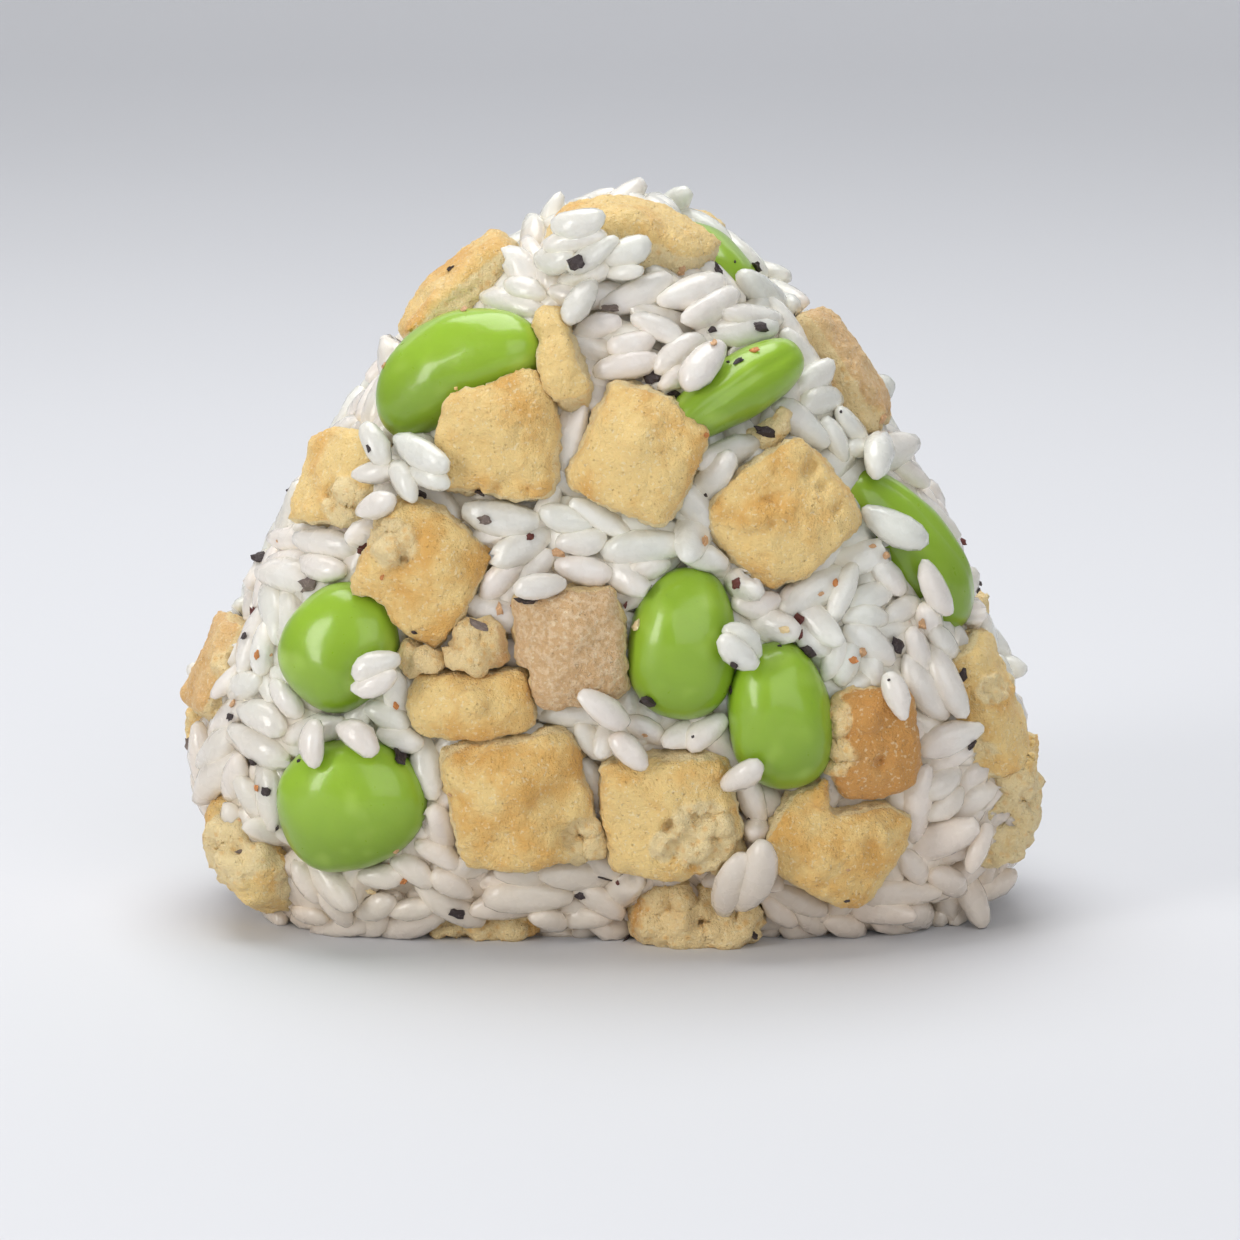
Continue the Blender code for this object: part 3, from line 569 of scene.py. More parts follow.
def toppings_of(scene):
    """The finished beans and squares."""
    return [piece for piece in scene.objects if piece.name.startswith(("soybean_", "fried_"))]


def finish_piece(piece, finish, slot, *nodes, smooth=True):
    """Gives a piece its material and shading, sets it on the root body and hides the nodes that it
    stands for; the slot is not used.
    """
    piece.data.materials.clear()
    piece.data.materials.append(finish)
    pick(piece)
    if smooth:
        bpy.ops.object.shade_smooth()
    else:
        bpy.ops.object.shade_flat()
    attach(piece, "root")
    if nodes:
        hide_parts(*nodes)
    clear_selection()


# The view


def view_frame(settings):
    """The camera's place and its right, up and backward directions."""
    back = Vector((0, -math.cos(settings.elevation), math.sin(settings.elevation)))
    up = Vector((0, math.sin(settings.elevation), math.cos(settings.elevation)))
    return VIEW_TARGET + back * settings.distance, Vector((1, 0, 0)), up, back


def view_ray(settings, across, down):
    """The camera's place and the direction of the sight line through a view point."""
    eye, right, up, back = view_frame(settings)
    focal = settings.lens / SENSOR_WIDTH * VIEW_SIDE
    half = VIEW_SIDE / 2
    return eye, (right * (across - half) - up * (down - half) - back * focal).normalized()


def view_points(settings, points):
    """Where places, as rows of an array, fall in the view."""
    eye, right, up, back = (np.array(row) for row in view_frame(settings))
    away = points - eye
    focal = settings.lens / SENSOR_WIDTH * VIEW_SIDE
    depth = -away @ back
    half = VIEW_SIDE / 2
    return np.stack([half + focal * (away @ right) / depth, half - focal * (away @ up) / depth], 1)


def first_hit(trees, start, direction):
    """The nearest hit of a ray on several trees: place, normal and the tree's index."""
    best = None
    for index, tree in enumerate(trees):
        place, normal, _, distance = tree.ray_cast(start, direction)
        if place and (best is None or distance < best[3]):
            best = (place, normal if normal.dot(direction) < 0 else -normal, index, distance)
    return best


# The core


def outline_point(turn):
    """The point of the smooth closed outline that is this share of the way round it."""
    count = len(OUTLINE)
    first = int(turn * count)
    part = turn * count - first
    before, start, end, after = (Vector(OUTLINE[(first + step) % count]) for step in (-1, 0, 1, 2))
    straight = (end - before) * part
    curved = (2 * before - 5 * start + 4 * end - after) * part**2
    twisted = (3 * start - before - 3 * end + after) * part**3
    return start + 0.5 * (straight + curved + twisted)


def core_point(turn, tilt):
    """A point of the pressed core, in metres."""
    share = max(math.cos(tilt), 0) ** (2 / DEPTH_POWER)
    depth = abs(math.sin(tilt)) ** (2 / DEPTH_POWER)
    across, up = outline_point(turn % 1)
    point = Vector((
        across * share,
        math.copysign(HALF_DEPTH * depth, tilt),
        CORE_MIDDLE_Z + (up - CORE_MIDDLE_Z) * share,
    ))
    outward = (point - Vector((0, 0, CORE_MIDDLE_Z))).normalized()
    return (point + outward * BUMP_HEIGHT * noise.noise(point / BUMP_SPREAD) + SHIFT) * MM


def core_form(name, sides, rings):
    """The pressed core, shaped from a sphere whose poles become the front and back faces."""
    clear_selection()
    bpy.ops.mesh.primitive_uv_sphere_add(segments=sides, ring_count=rings, radius=1)
    core = name_piece(name)
    keep_order(core)
    for vertex in core.data.vertices:
        turn = math.atan2(vertex.co.y, vertex.co.x) / math.tau
        vertex.co = core_point(turn % 1, math.asin(max(-1, min(1, vertex.co.z))))
    face_outward(core)
    return core


def seat(core_tree, near, spin, lift):
    """The placing of a piece that lies on the core at the place called near."""
    start = (Vector(near) + SHIFT) * MM
    point = None
    if abs(near[1]) >= FACE_START:
        direction = Vector((0, -math.copysign(1, near[1]), 0))
        point, outward, _, _ = core_tree.ray_cast(start, direction)
    if point is None:
        point, outward, _, _ = core_tree.find_nearest(start)
    return standing(point, outward, math.radians(spin), lift * MM)


def standing(point, outward, spin, lift):
    """A frame on a surface: X turned by spin from the level direction and Z pointing outward."""
    level = Vector((0, 1, 0)) if abs(outward.z) > LOOKS_UP else Vector((0, 0, 1))
    right = level.cross(outward).normalized()
    turned = Matrix((right, outward.cross(right), outward)).transposed().to_4x4()
    return Matrix.Translation(point + outward * lift) @ turned @ Matrix.Rotation(spin, 4, "Z")


# Beans


def bean_form(bean, core_tree):
    """A soybean: a plump flattened egg with a kidney bend, and a crease where it splits."""
    clear_selection()
    bpy.ops.mesh.primitive_uv_sphere_add(segments=56, ring_count=32, radius=1)
    piece = name_piece("soy" + bean.node)
    keep_order(piece)
    length, width, thickness = (value / 2 * MM for value in bean.size)
    place = seat(core_tree, bean.near, bean.spin, bean.lift)
    for vertex in piece.data.vertices:
        total = sum(abs(value) ** PLUMPNESS for value in vertex.co) ** (1 / PLUMPNESS)
        across, side, along = (value / total for value in vertex.co)
        taper = 1 - 0.08 * along if bean.crease is None else 1 + 0.16 * along
        bend = bean.bend * MM * (along**2 - 0.4)
        point = Vector((along * length, side * width * taper - bend, across * thickness * taper))
        dent = 0.0
        if bean.crease is not None and across > 0:
            beside = side - bean.crease + 0.12 * along**2
            dent += 0.14 * math.exp(-((beside / 0.10) ** 2)) * (1 - along**4)
            dent -= 0.05 * math.exp(-(((beside - 0.25) / 0.2) ** 2)) * (1 - along**4)
        dent += 0.22 * noise.noise(point / (3.2 * MM) + Vector(bean.near))
        if abs(along) < 0.999:
            point -= Vector((0, side, across)).normalized() * dent * MM
        vertex.co = place @ point
    low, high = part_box(bean.node)
    points = points_of(piece)
    middle = (points.min(0) + points.max(0)) / 2
    nudge = np.array(BEAN_NUDGES.get(bean.node, (0, 0, 0))) * MM
    set_points(piece, points + (np.array((low + high) / 2) - middle) + nudge)
    face_outward(piece)
    return piece


# Fried tofu


def press(piece, node, view):
    """Pushes hollows into a square's seen side, or pulls lumps out of it."""
    rows = [row[1:] for row in PRESSES if row[0] == node]
    if not rows:
        return
    points = points_of(piece)
    facing = np.clip(-normals_of(piece)[:, 1] * 2 + 0.3, 0, 1)
    seen = view_points(view, points)
    for across, down, radius, depth in rows:
        gap = np.hypot(seen[:, 0] - across, seen[:, 1] - down) / radius
        share = np.clip(1 - gap**2, 0, 1) ** 1.5 * facing
        points[:, 1] += share * depth * MM
    set_points(piece, points)


def torn_share(piece, node, view):
    """How far the crust is torn off at each point."""
    seen = view_points(view, points_of(piece))
    torn = np.full(len(seen), float(TORN_BEHIND.get(node, 0)))
    for name, across, down, radius in TORN:
        if name == node:
            gap = np.hypot(seen[:, 0] - across, seen[:, 1] - down) / radius
            torn = np.maximum(torn, np.clip((1 - gap) * 3, 0, 1))
    return torn


def puff(piece, node, outward):
    """Raises the middle of a square's outer face."""
    points = points_of(piece)
    low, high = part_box(node)
    away = points - np.array((low + high) / 2)
    outward = np.array(outward)
    height = away @ outward
    flat = np.linalg.norm(away - height[:, None] * outward, axis=1)
    reach = np.percentile(flat, 97)
    share = np.clip(1 - (flat / reach) ** 2, 0, 1) * np.clip(height / (1.2 * MM), 0, 1)
    share *= np.clip((abs(outward[1]) - 0.6) / 0.3, 0, 1)
    points += np.array(SQUARE_NUDGES.get(node, (0, 0, 0))) * MM
    set_points(piece, points + outward * (share * PUFF * MM)[:, None])


def tofu_form(node, outward, settings, view):
    """A cut square of fried tofu: puffed wrinkled crust on its face and porous cut sides."""
    piece = bpy.data.objects.new("fried_" + node[5:], frame["nodes"][node].data.copy())
    bpy.context.scene.collection.objects.link(piece)
    pick(piece)
    bpy.ops.object.mode_set(mode="EDIT")
    bpy.ops.mesh.select_all(action="SELECT")
    bpy.ops.mesh.remove_doubles(threshold=0.01 * MM)
    bpy.ops.object.mode_set(mode="OBJECT")
    shape_with(piece, "REMESH", mode="VOXEL", voxel_size=settings.detail)
    shape_with(piece, "SMOOTH", factor=0.7, iterations=26)
    upright = np.abs(normals_of(piece) @ np.array(outward))
    crust = np.clip((upright - 0.05) / 0.45, 0, 1)
    set_values(piece, "crust", crust)
    set_values(piece, "toast", np.full(len(crust), TOASTED.get(node, USUAL_TOAST)))
    set_values(piece, "fluff", np.full(len(crust), FLUFFY.get(node, 0)))
    weigh(piece, "face", crust)
    weigh(piece, "sides", 1 - crust)
    puff(piece, node, outward)
    press(piece, node, view)
    torn = torn_share(piece, node, view)
    crust_values = piece.data.attributes["crust"].data
    crust_values.foreach_set("value", (crust * (1 - 0.75 * torn)).astype(np.float32))
    weigh(piece, "torn", torn, 0.02)
    roughen(piece, "crumb", "VORONOI", 1.5, 2.0 * MM, 0.42, "torn")
    roughen(piece, "lumps", "CLOUDS", 4.2, 0.85 * MM, 0.25)
    roughen(piece, "wrinkles", "CLOUDS", 1.5, settings.wrinkle, 0.5, "face")
    roughen(piece, "pores", "VORONOI", 0.9, settings.pores, 0.45, "sides")
    roughen(piece, "grit", "CLOUDS", 0.42, 0.26 * MM, 0.5)
    piece.vertex_groups.clear()
    set_points(piece, raise_to_floor(points_of(piece)))
    return piece


def chip_form(trees, view, detail):
    """A torn chip of crumb that leans against the upper beans."""
    hit = first_hit(trees, *view_ray(view, *CHIP_AT))
    clear_selection()
    bpy.ops.mesh.primitive_cone_add(vertices=5, radius1=2.0 * MM, radius2=0.7 * MM, depth=3.8 * MM)
    piece = name_piece("fried_chip")
    bpy.ops.object.mode_set(mode="EDIT")
    bpy.ops.mesh.select_all(action="SELECT")
    bpy.ops.transform.resize(value=(1, 0.5, 1), center_override=(0, 0, 0))
    bpy.ops.transform.rotate(value=math.radians(-35), orient_axis="Y", center_override=(0, 0, 0))
    bpy.ops.transform.translate(value=hit[0] + Vector((0, -1.0, 0.2)) * MM)
    bpy.ops.object.mode_set(mode="OBJECT")
    shape_with(piece, "REMESH", mode="VOXEL", voxel_size=detail)
    shape_with(piece, "SMOOTH", factor=0.6, iterations=5)
    roughen(piece, "wrinkles", "CLOUDS", 1.5, 1.0 * MM, 0.45)
    for name, value in (("crust", 0.1), ("toast", 0.2), ("fluff", 0)):
        set_values(piece, name, np.full(len(piece.data.vertices), value))
    return piece


# Rice


def grain_form(index, form, sides, rings):
    """A cooked grain of unit length and width along X, with a nick where the germ was."""
    clear_selection()
    bpy.ops.mesh.primitive_uv_sphere_add(segments=sides, ring_count=rings, radius=0.5)
    grain = name_piece(f"grain_form_{index}")
    keep_order(grain)
    for vertex in grain.data.vertices:
        across, side, along = vertex.co * 2
        full = 1.0
        if abs(along) < 0.99:
            full = math.sqrt((1 - abs(along) ** 2.2) / (1 - along**2))
        girth = full * (1 + form.blunt * along)
        nick = form.nick * math.exp(-(((along - 0.72) / 0.2) ** 2)) * max(side, 0)
        crease = 0.05 * math.exp(-((side / 0.3) ** 2)) * (1 - along**2) * (across > 0)
        bend = form.bend * (along**2 - 0.35)
        point = Vector((
            along, side * girth - 2 * nick + bend, across * girth * form.flat - crease)) / 2
        wobble = [noise.noise(point * 2.6 + Vector((index * 9.1, step * 31.7, 0)))
                  for step in (0, 1, 2)]
        vertex.co = point + Vector(wobble) * 0.05
    face_outward(grain)
    return grain


def columns(rows):
    """The middles, directions, lengths, widths and looseness of rows as arrays."""
    return tuple(np.array([row[index] for row in rows]) for index in (0, 1, 2, 3, 5))


class Lie:
    """Where the grains lie: rows of middles, directions, lengths, widths, heights and looseness."""

    def __init__(self):
        self.rows = []
        self.marks = np.empty((0, 3))

    def add(self, middle, direction, length, width, height, loose):
        """Adds a grain and the marks that keep others away from it."""
        self.rows.append((middle, direction, length, width, height, loose))
        steps = (-length / 3, 0, length / 3)
        marks = np.array([middle + direction * step for step in steps])
        self.marks = np.concatenate([self.marks, marks])

    def crowded(self, places, room):
        """True if any place is nearer to a mark than the room asked for."""
        if not len(self.marks):
            return False
        gaps = np.linalg.norm(self.marks[None] - np.array(places)[:, None], axis=2)
        return bool(gaps.min() < room)


def near_grains(lie, trees, view, draw, width):
    """Lays the grains that stand out at the front where the view shows them."""
    for ends_seen in NEAR_GRAINS + COVERING_GRAINS:
        first_x, first_y, last_x, last_y = ends_seen
        middle = first_hit(trees, *view_ray(view, (first_x + last_x) / 2, (first_y + last_y) / 2))
        if middle is None or (middle[2] > 0 and ends_seen not in COVERING_GRAINS):
            continue
        ends = []
        for share in (0.2, 0.8):
            across = first_x + (last_x - first_x) * share
            down = first_y + (last_y - first_y) * share
            start, direction = view_ray(view, across, down)
            hit = first_hit(trees, start, direction)
            if hit:
                lift = 0.8 * MM if hit[2] == 0 else 0.5 * width + 0.2 * MM
                ends.append(hit[0] - direction * lift / max(-hit[1].dot(direction), 0.5))
        if len(ends) < 2 or (ends[1] - ends[0]).length > 7 * MM:
            continue
        span = (ends[1] - ends[0]) / 0.6
        middle, span = laid_flat(trees[0], ends, span)
        length = min(max(span.length * 1.04, 4.4 * MM), 8.4 * MM)
        girth = width * draw.uniform(0.92, 1.06) + (length - 6.4 * MM) * 0.3
        loose = OVER_TOPPING if ends_seen in COVERING_GRAINS else STANDING_OUT
        lie.add(middle, span.normalized(), length, girth, None, loose)


def laid_flat(core_tree, ends, span):
    """A grain's middle and span when it leans less out of the rice; its outer end stays nearest."""
    middle = (ends[0] + ends[1]) / 2
    outward = core_tree.find_nearest(middle)[1]
    rise = span.dot(outward)
    flat = span - outward * rise
    most = flat.length * MOST_RISE
    gentle = max(-most, min(most, rise))
    return middle + outward * abs(rise - gentle) * 0.18, flat + outward * gentle


def scatter_grains(lie, core, core_tree, neighbours, settings, draw, layer):
    """Lays the grains of one layer evenly over the core."""
    height = layer.height * MM
    room = layer.room * settings.spacing
    faces = list(core.data.polygons)
    weights = [face.area for face in faces]
    vertices = core.data.vertices
    for face in draw.choices(faces, weights=weights, k=layer.tries):
        shares = [draw.random() for _ in face.vertices]
        total = sum(shares)
        point = sum((vertices[index].co * share / total
                     for index, share in zip(face.vertices, shares)), Vector())
        length = settings.length * draw.uniform(0.84, 1.14)
        width = settings.width * draw.uniform(0.92, 1.08) + (length - settings.length) * 0.3
        spin = draw.uniform(0, math.tau)
        lean = draw.gauss(0, layer.lean)
        if point.z < -0.4 * MM or lie.crowded([point], room * 1.1):
            continue
        _, outward, _, _ = core_tree.find_nearest(point)
        middle = point + outward * height
        if blocked(neighbours, middle, width * (0.2 if height > 0 else -0.1)):
            continue
        for attempt in range(6):
            turned = standing(point, outward, spin + attempt * math.pi / 6, height)
            direction = (turned.to_3x3() @ Vector((math.cos(lean), 0, math.sin(lean)))).normalized()
            ends = [middle + direction * step * length / 3 for step in (-1, 0, 1)]
            if lie.crowded(ends, room):
                continue
            lie.add(middle, direction, length, width, height, SCATTERED)
            break


def blocked(neighbours, point, margin):
    """True if a place lies within a topping or nearer to it than the margin."""
    return any((point - middle).length <= reach + margin and height_over(tree, point)[0] < margin
               for tree, middle, reach in neighbours)


def settle(lie, core_tree, neighbours, rounds=26):
    """Lets the grains push each other and the toppings away, and sink back to their height."""
    middles, directions, lengths, widths, loose = columns(lie.rows)
    steps = np.array((-1.0, 0.0, 1.0))
    radii = np.stack([widths * 0.4, widths * 0.5, widths * 0.4], 1)
    half = lengths / 2 - widths * 0.42
    close = [[row for row in neighbours if (Vector(middle) - row[1]).length < row[2] + 6 * MM]
             for middle in middles]
    outwards = [core_tree.find_nearest(Vector(middle))[1] for middle in middles]
    for _ in range(rounds):
        balls = middles[:, None] + directions[:, None] * steps[None, :, None] * half[:, None, None]
        push, _ = crowding(middles, balls, radii)
        for row, nearby in enumerate(close):
            for part in range(3):
                ball = Vector(balls[row, part])
                for tree, middle, reach in nearby:
                    if (ball - middle).length > reach + radii[row, part]:
                        continue
                    height, normal = height_over(tree, ball)
                    depth = radii[row, part] * 0.95 - height
                    if depth > 0:
                        normal = normal - outwards[row] * max(normal.dot(outwards[row]), 0)
                        push[row, part] += np.array(normal) * depth * 0.6 / max(loose[row], 0.2)
            if lie.rows[row][4] is not None:
                height, normal = height_over(core_tree, Vector(balls[row, 1]))
                push[row] += np.array(normal) * (lie.rows[row][4] - height) * 0.35
        push *= loose[:, None, None]
        longest = np.linalg.norm(push, axis=2, keepdims=True)
        push *= np.minimum(1, 0.7 * MM / np.maximum(longest, 1e-9))
        middles += push.mean(1)
        directions += (push[:, 2] - push[:, 0]) / (2 * half[:, None]) * 0.8
        directions /= np.linalg.norm(directions, axis=1)[:, None]
    balls = middles[:, None] + directions[:, None] * steps[None, :, None] * half[:, None, None]
    kept = thin_out(np.arange(len(middles)), middles, balls, radii, loose)
    return middles[kept], directions[kept], lengths[kept], widths[kept], loose[kept]


def crowding(middles, balls, radii):
    """The push on each ball by the balls of other grains, and each grain's total overlap."""
    push = np.zeros_like(balls)
    overlaps = np.zeros(len(middles))
    gaps = np.linalg.norm(middles[:, None] - middles[None], axis=2)
    first, second = np.nonzero(np.triu(gaps < 8.5 * MM, 1))
    for one in range(3):
        for other in range(3):
            apart = balls[first, one] - balls[second, other]
            distance = np.linalg.norm(apart, axis=1)
            overlap = CLOSENESS * (radii[first, one] + radii[second, other]) - distance
            hit = overlap > 0
            move = apart[hit] / np.maximum(distance[hit], 1e-6)[:, None]
            move = move * overlap[hit][:, None] * 0.4
            np.add.at(push[:, one], first[hit], move)
            np.add.at(push[:, other], second[hit], -move)
            np.add.at(overlaps, first[hit], overlap[hit])
            np.add.at(overlaps, second[hit], overlap[hit])
    return push, overlaps


def thin_out(kept, middles, balls, radii, loose):
    """Which of the grains kept so far stay when those too deep in others go."""
    while True:
        _, overlaps = crowding(middles[kept], balls[kept], radii[kept])
        overlaps = np.where(loose[kept] == SCATTERED, overlaps, 0)
        worst = int(overlaps.argmax())
        if overlaps[worst] < MOST_OVERLAP * MM:
            return kept
        kept = np.delete(kept, worst)


def tuck(rows, laid, core_tree, neighbours, view):
    """Presses what would lie over a topping below its surface, and clears parts of the view."""
    kept = []
    for index, (points, faces) in enumerate(rows):
        middle = Vector(laid[0][index])
        if laid[4][index] > OVER_TOPPING and in_the_way(points, view):
            continue
        if laid[4][index] == SCATTERED:
            outward = core_tree.find_nearest(middle)[1]
            near = [tree for tree, centre, reach in neighbours
                    if (middle - centre).length < reach + 4 * MM]
            if near:
                points = [pressed(Vector(point), outward, near, core_tree) for point in points]
                rows[index] = (np.array(points), faces)
        kept.append(index)
    return [rows[index] for index in kept], tuple(part[kept] for part in laid)


def pressed(point, outward, trees, core_tree):
    """A grain's point, moved below the topping that it would lie over."""
    for tree in trees:
        place, normal, _, _ = tree.ray_cast(point, -outward, 3 * MM)
        shows = place and height_over(core_tree, place)[0] > SHOWS_FROM * MM
        if shows and normal.dot(outward) > 0:
            point = place - outward * 0.15 * MM
    return point


def in_the_way(points, view):
    """True if a grain at the front covers a part of the view that is kept clear."""
    if points[:, 1].min() > 2 * MM:
        return False
    seen = view_points(view, points)
    return any(np.hypot(seen[:, 0] - across, seen[:, 1] - down).min() < radius
               for across, down, radius in CLEAR)


def touching(rows, settled):
    """How near each point of each grain is to the other grains, 1 where they touch: the mask of the
    painted shade where grains touch.
    """
    middles, directions, lengths, widths, _ = settled
    halves = lengths / 2 - widths * 0.3
    values = []
    for index, (points, _) in enumerate(rows):
        near = np.linalg.norm(middles - middles[index], axis=1) < 7.5 * MM
        near[index] = False
        if not near.any():
            values.append(np.zeros(len(points)))
            continue
        away = points[:, None] - middles[near][None]
        along = np.einsum("ijk,jk->ij", away, directions[near])
        along = np.clip(along, -halves[near], halves[near])
        gap = np.linalg.norm(away - along[..., None] * directions[near][None], axis=2)
        gap -= widths[near] * 0.42 * (1 - 0.35 * (along / halves[near]) ** 2)
        values.append(np.clip(1 - gap.min(1) / (0.5 * MM), 0, 1))
    return values


def grain_rows(forms, core_tree, settled, draw):
    """The points and faces of each grain, turned and sized from one of the forms."""
    shapes = [points_of(form) for form in forms]
    faces = [faces_of(form) for form in forms]
    rows = []
    for middle, direction, length, width in zip(*settled[:4]):
        form = draw.randrange(len(forms))
        _, outward, _, _ = core_tree.find_nearest(Vector(middle))
        along = Vector(direction)
        up = (outward - along * outward.dot(along)).normalized()
        up = Matrix.Rotation(draw.gauss(0, 0.4), 3, along) @ up
        side = up.cross(along)
        flip = 1 if draw.random() < 0.5 else -1
        turned = np.array([along * length * flip, side * width * flip, up * width])
        rows.append((shapes[form] @ turned + middle, faces[form]))
    return rows


# Pepper


def flake_form(index):
    """A chip of ground pepper one unit across: an angular crumpled flake."""
    clear_selection()
    bpy.ops.mesh.primitive_ico_sphere_add(subdivisions=2, radius=0.5)
    flake = name_piece(f"flake_form_{index}")
    keep_order(flake)
    for vertex in flake.data.vertices:
        sample = vertex.co * 3.1 + Vector((index * 7.7, 0, 0))
        size = 1 + 0.75 * noise.noise(sample)
        vertex.co *= size
        vertex.co.z += 0.16 * noise.noise(sample * 1.3 + Vector((0, 40, 0)))
    return flake


def join_rows(name, rows):
    """One mesh from rows of points and faces."""
    points = []
    polygons = []
    total = 0
    for row_points, row_faces in rows:
        points.append(row_points)
        polygons += [tuple(index + total for index in face) for face in row_faces]
        total += len(row_points)
    return joined_piece(name, np.concatenate(points), polygons)


def joined_piece(name, points, polygons):
    """A piece from points and faces."""
    mesh = bpy.data.meshes.new(name)
    mesh.from_pydata([tuple(point) for point in points], [], polygons)
    mesh.update()
    piece = bpy.data.objects.new(name, mesh)
    bpy.context.scene.collection.objects.link(piece)
    return piece


def drop(pieces):
    """Removes the forms that were only copied from."""
    for piece in pieces:
        mesh = piece.data
        bpy.data.objects.remove(piece)
        bpy.data.meshes.remove(mesh)


# Materials


class Socket:
    """One output of a material's nodes, used in plain expressions."""

    def __init__(self, finish, output):
        self.finish = finish
        self.output = output

    def math(self, operation, first, second):
        """Adds a Math node for two values."""
        return self.finish.node("ShaderNodeMath", {"operation": operation}, {0: first, 1: second})

    def __add__(self, other):
        return self.math("ADD", self, other)

    __radd__ = __add__

    def __sub__(self, other):
        return self.math("SUBTRACT", self, other)

    def __rsub__(self, other):
        return self.math("SUBTRACT", other, self)

    def __mul__(self, other):
        return self.math("MULTIPLY", self, other)

    __rmul__ = __mul__


class Finish:
    """A material in the making."""

    def __init__(self, name):
        self.material = bpy.data.materials.new(name)
        self.material.use_nodes = True
        self.nodes = self.material.node_tree.nodes
        self.links = self.material.node_tree.links
        self.shader = self.nodes["Principled BSDF"]

    def node(self, kind, settings=None, sockets=None, output=0):
        """Adds any node: its settings first, then the values or links of its sockets."""
        node = self.nodes.new(kind)
        for key, value in (settings or {}).items():
            setattr(node, key, value)
        for key, value in (sockets or {}).items():
            self.feed(node.inputs[key], value)
        return Socket(self, node.outputs[output])

    def feed(self, socket, value):
        """Links a socket or sets its value."""
        if isinstance(value, Socket):
            self.links.new(value.output, socket)
        elif hasattr(value, "__len__") and len(value) == 3 and socket.type == "RGBA":
            socket.default_value = (*value, 1)
        else:
            socket.default_value = value

    def mix(self, first, second, share):
        """Blends two colours."""
        return self.node("ShaderNodeMix", {"data_type": "RGBA"}, {0: share, 6: first, 7: second}, 2)

    def place(self):
        """The place on the piece."""
        return self.node("ShaderNodeTexCoord", output="Object")

    def noise(self, place, size, detail=2.0, rough=0.5):
        """Soft noise with features of a size in metres."""
        return self.node("ShaderNodeTexNoise", {}, {
            "Vector": place, "Scale": 1 / size, "Detail": detail, "Roughness": rough}, "Fac")

    def cells(self, place, size):
        """Rounded cells of a size in metres: the distance from their middles."""
        return self.node("ShaderNodeTexVoronoi", {}, {
            "Vector": place, "Scale": 1 / size}, "Distance")

    def step(self, value, low, high):
        """0 below low, 1 above high and smooth between."""
        return self.node("ShaderNodeMapRange", {"interpolation_type": "SMOOTHSTEP"}, {
            "Value": value, "From Min": low, "From Max": high})

    def value(self, name):
        """A number stored at the piece's points."""
        return self.node("ShaderNodeAttribute", {"attribute_name": name}, output="Fac")

    def bump(self, height, distance, strength=1.0):
        """Relief for the shader."""
        normal = self.node("ShaderNodeBump", {}, {
            "Height": height, "Distance": distance, "Strength": strength})
        self.feed(self.shader.inputs["Normal"], normal)

    def paint(self, **inputs):
        """Feeds the shader's sockets, named with underscores for blanks."""
        for key, value in inputs.items():
            self.feed(self.shader.inputs[key.replace("_", " ").title()], value)

    def glow_through(self, weight, radius, depth):
        """Light that passes through the surface."""
        self.shader.subsurface_method = "BURLEY"
        self.shader.inputs["Subsurface Weight"].default_value = weight
        self.shader.inputs["Subsurface Radius"].default_value = radius
        self.shader.inputs["Subsurface Scale"].default_value = depth


def rice_finish(settings):
    """Moist cooked rice: white with cool and warm patches, with painted shade, darker and warmer,
    in the hollows and where grains touch, and painted warm bounce light near the bottom.
    """
    finish = Finish("moist_rice")
    place = finish.place()
    patches = finish.step(finish.noise(place, 15 * MM, 1.5), 0.38, 0.62)
    colour = finish.mix(tuple(settings.colour), tuple(settings.blush), patches)
    tint = finish.value("tint")
    colour = finish.mix(colour, (0.58, 0.61, 0.54), tint * 0.4)
    chalk = finish.step(finish.noise(place, 2.2 * MM, 3), 0.5, 0.72)
    colour = finish.mix(colour, (0.80, 0.79, 0.75), chalk * 0.35)
    # Painted shade: the hollow colour is painted on points below the guide surface and where grains
    # touch.
    deep = finish.step(0 - finish.value("height"), -0.3, 1.2)
    crease = finish.step(finish.value("crease"), 0.35, 1.1)
    colour = finish.mix(colour, tuple(settings.hollow_shade), deep * 0.5)
    colour = finish.mix(colour, tuple(settings.hollow_shade), crease * 0.42)
    # Painted bounce light: a warmer, darker tint painted on the lowest 26 mm of the rice, standing
    # in for warm light reflected up from below.
    low = finish.node("ShaderNodeSeparateXYZ", {}, {"Vector": place}, "Z")
    colour = finish.mix(colour, (0.66, 0.52, 0.40), finish.step(0.026 - low, 0, 0.026) * 0.55)
    wet = finish.noise(place, 1.6 * MM, 2)
    finish.paint(base_color=colour, roughness=0.14 + wet * 0.26)
    finish.shader.inputs["Coat Weight"].default_value = 0.5
    finish.shader.inputs["Coat Roughness"].default_value = 0.09
    finish.shader.inputs["IOR"].default_value = 1.38
    relief_sum = finish.noise(place, 0.9 * MM, 3) * 0.6 + finish.noise(place, 0.28 * MM, 1) * 0.25
    finish.bump(relief_sum, 0.22 * MM, 0.55)
    finish.glow_through(0.7, (1.0, 0.9, 0.74), 1.3 * MM)
    return finish.material


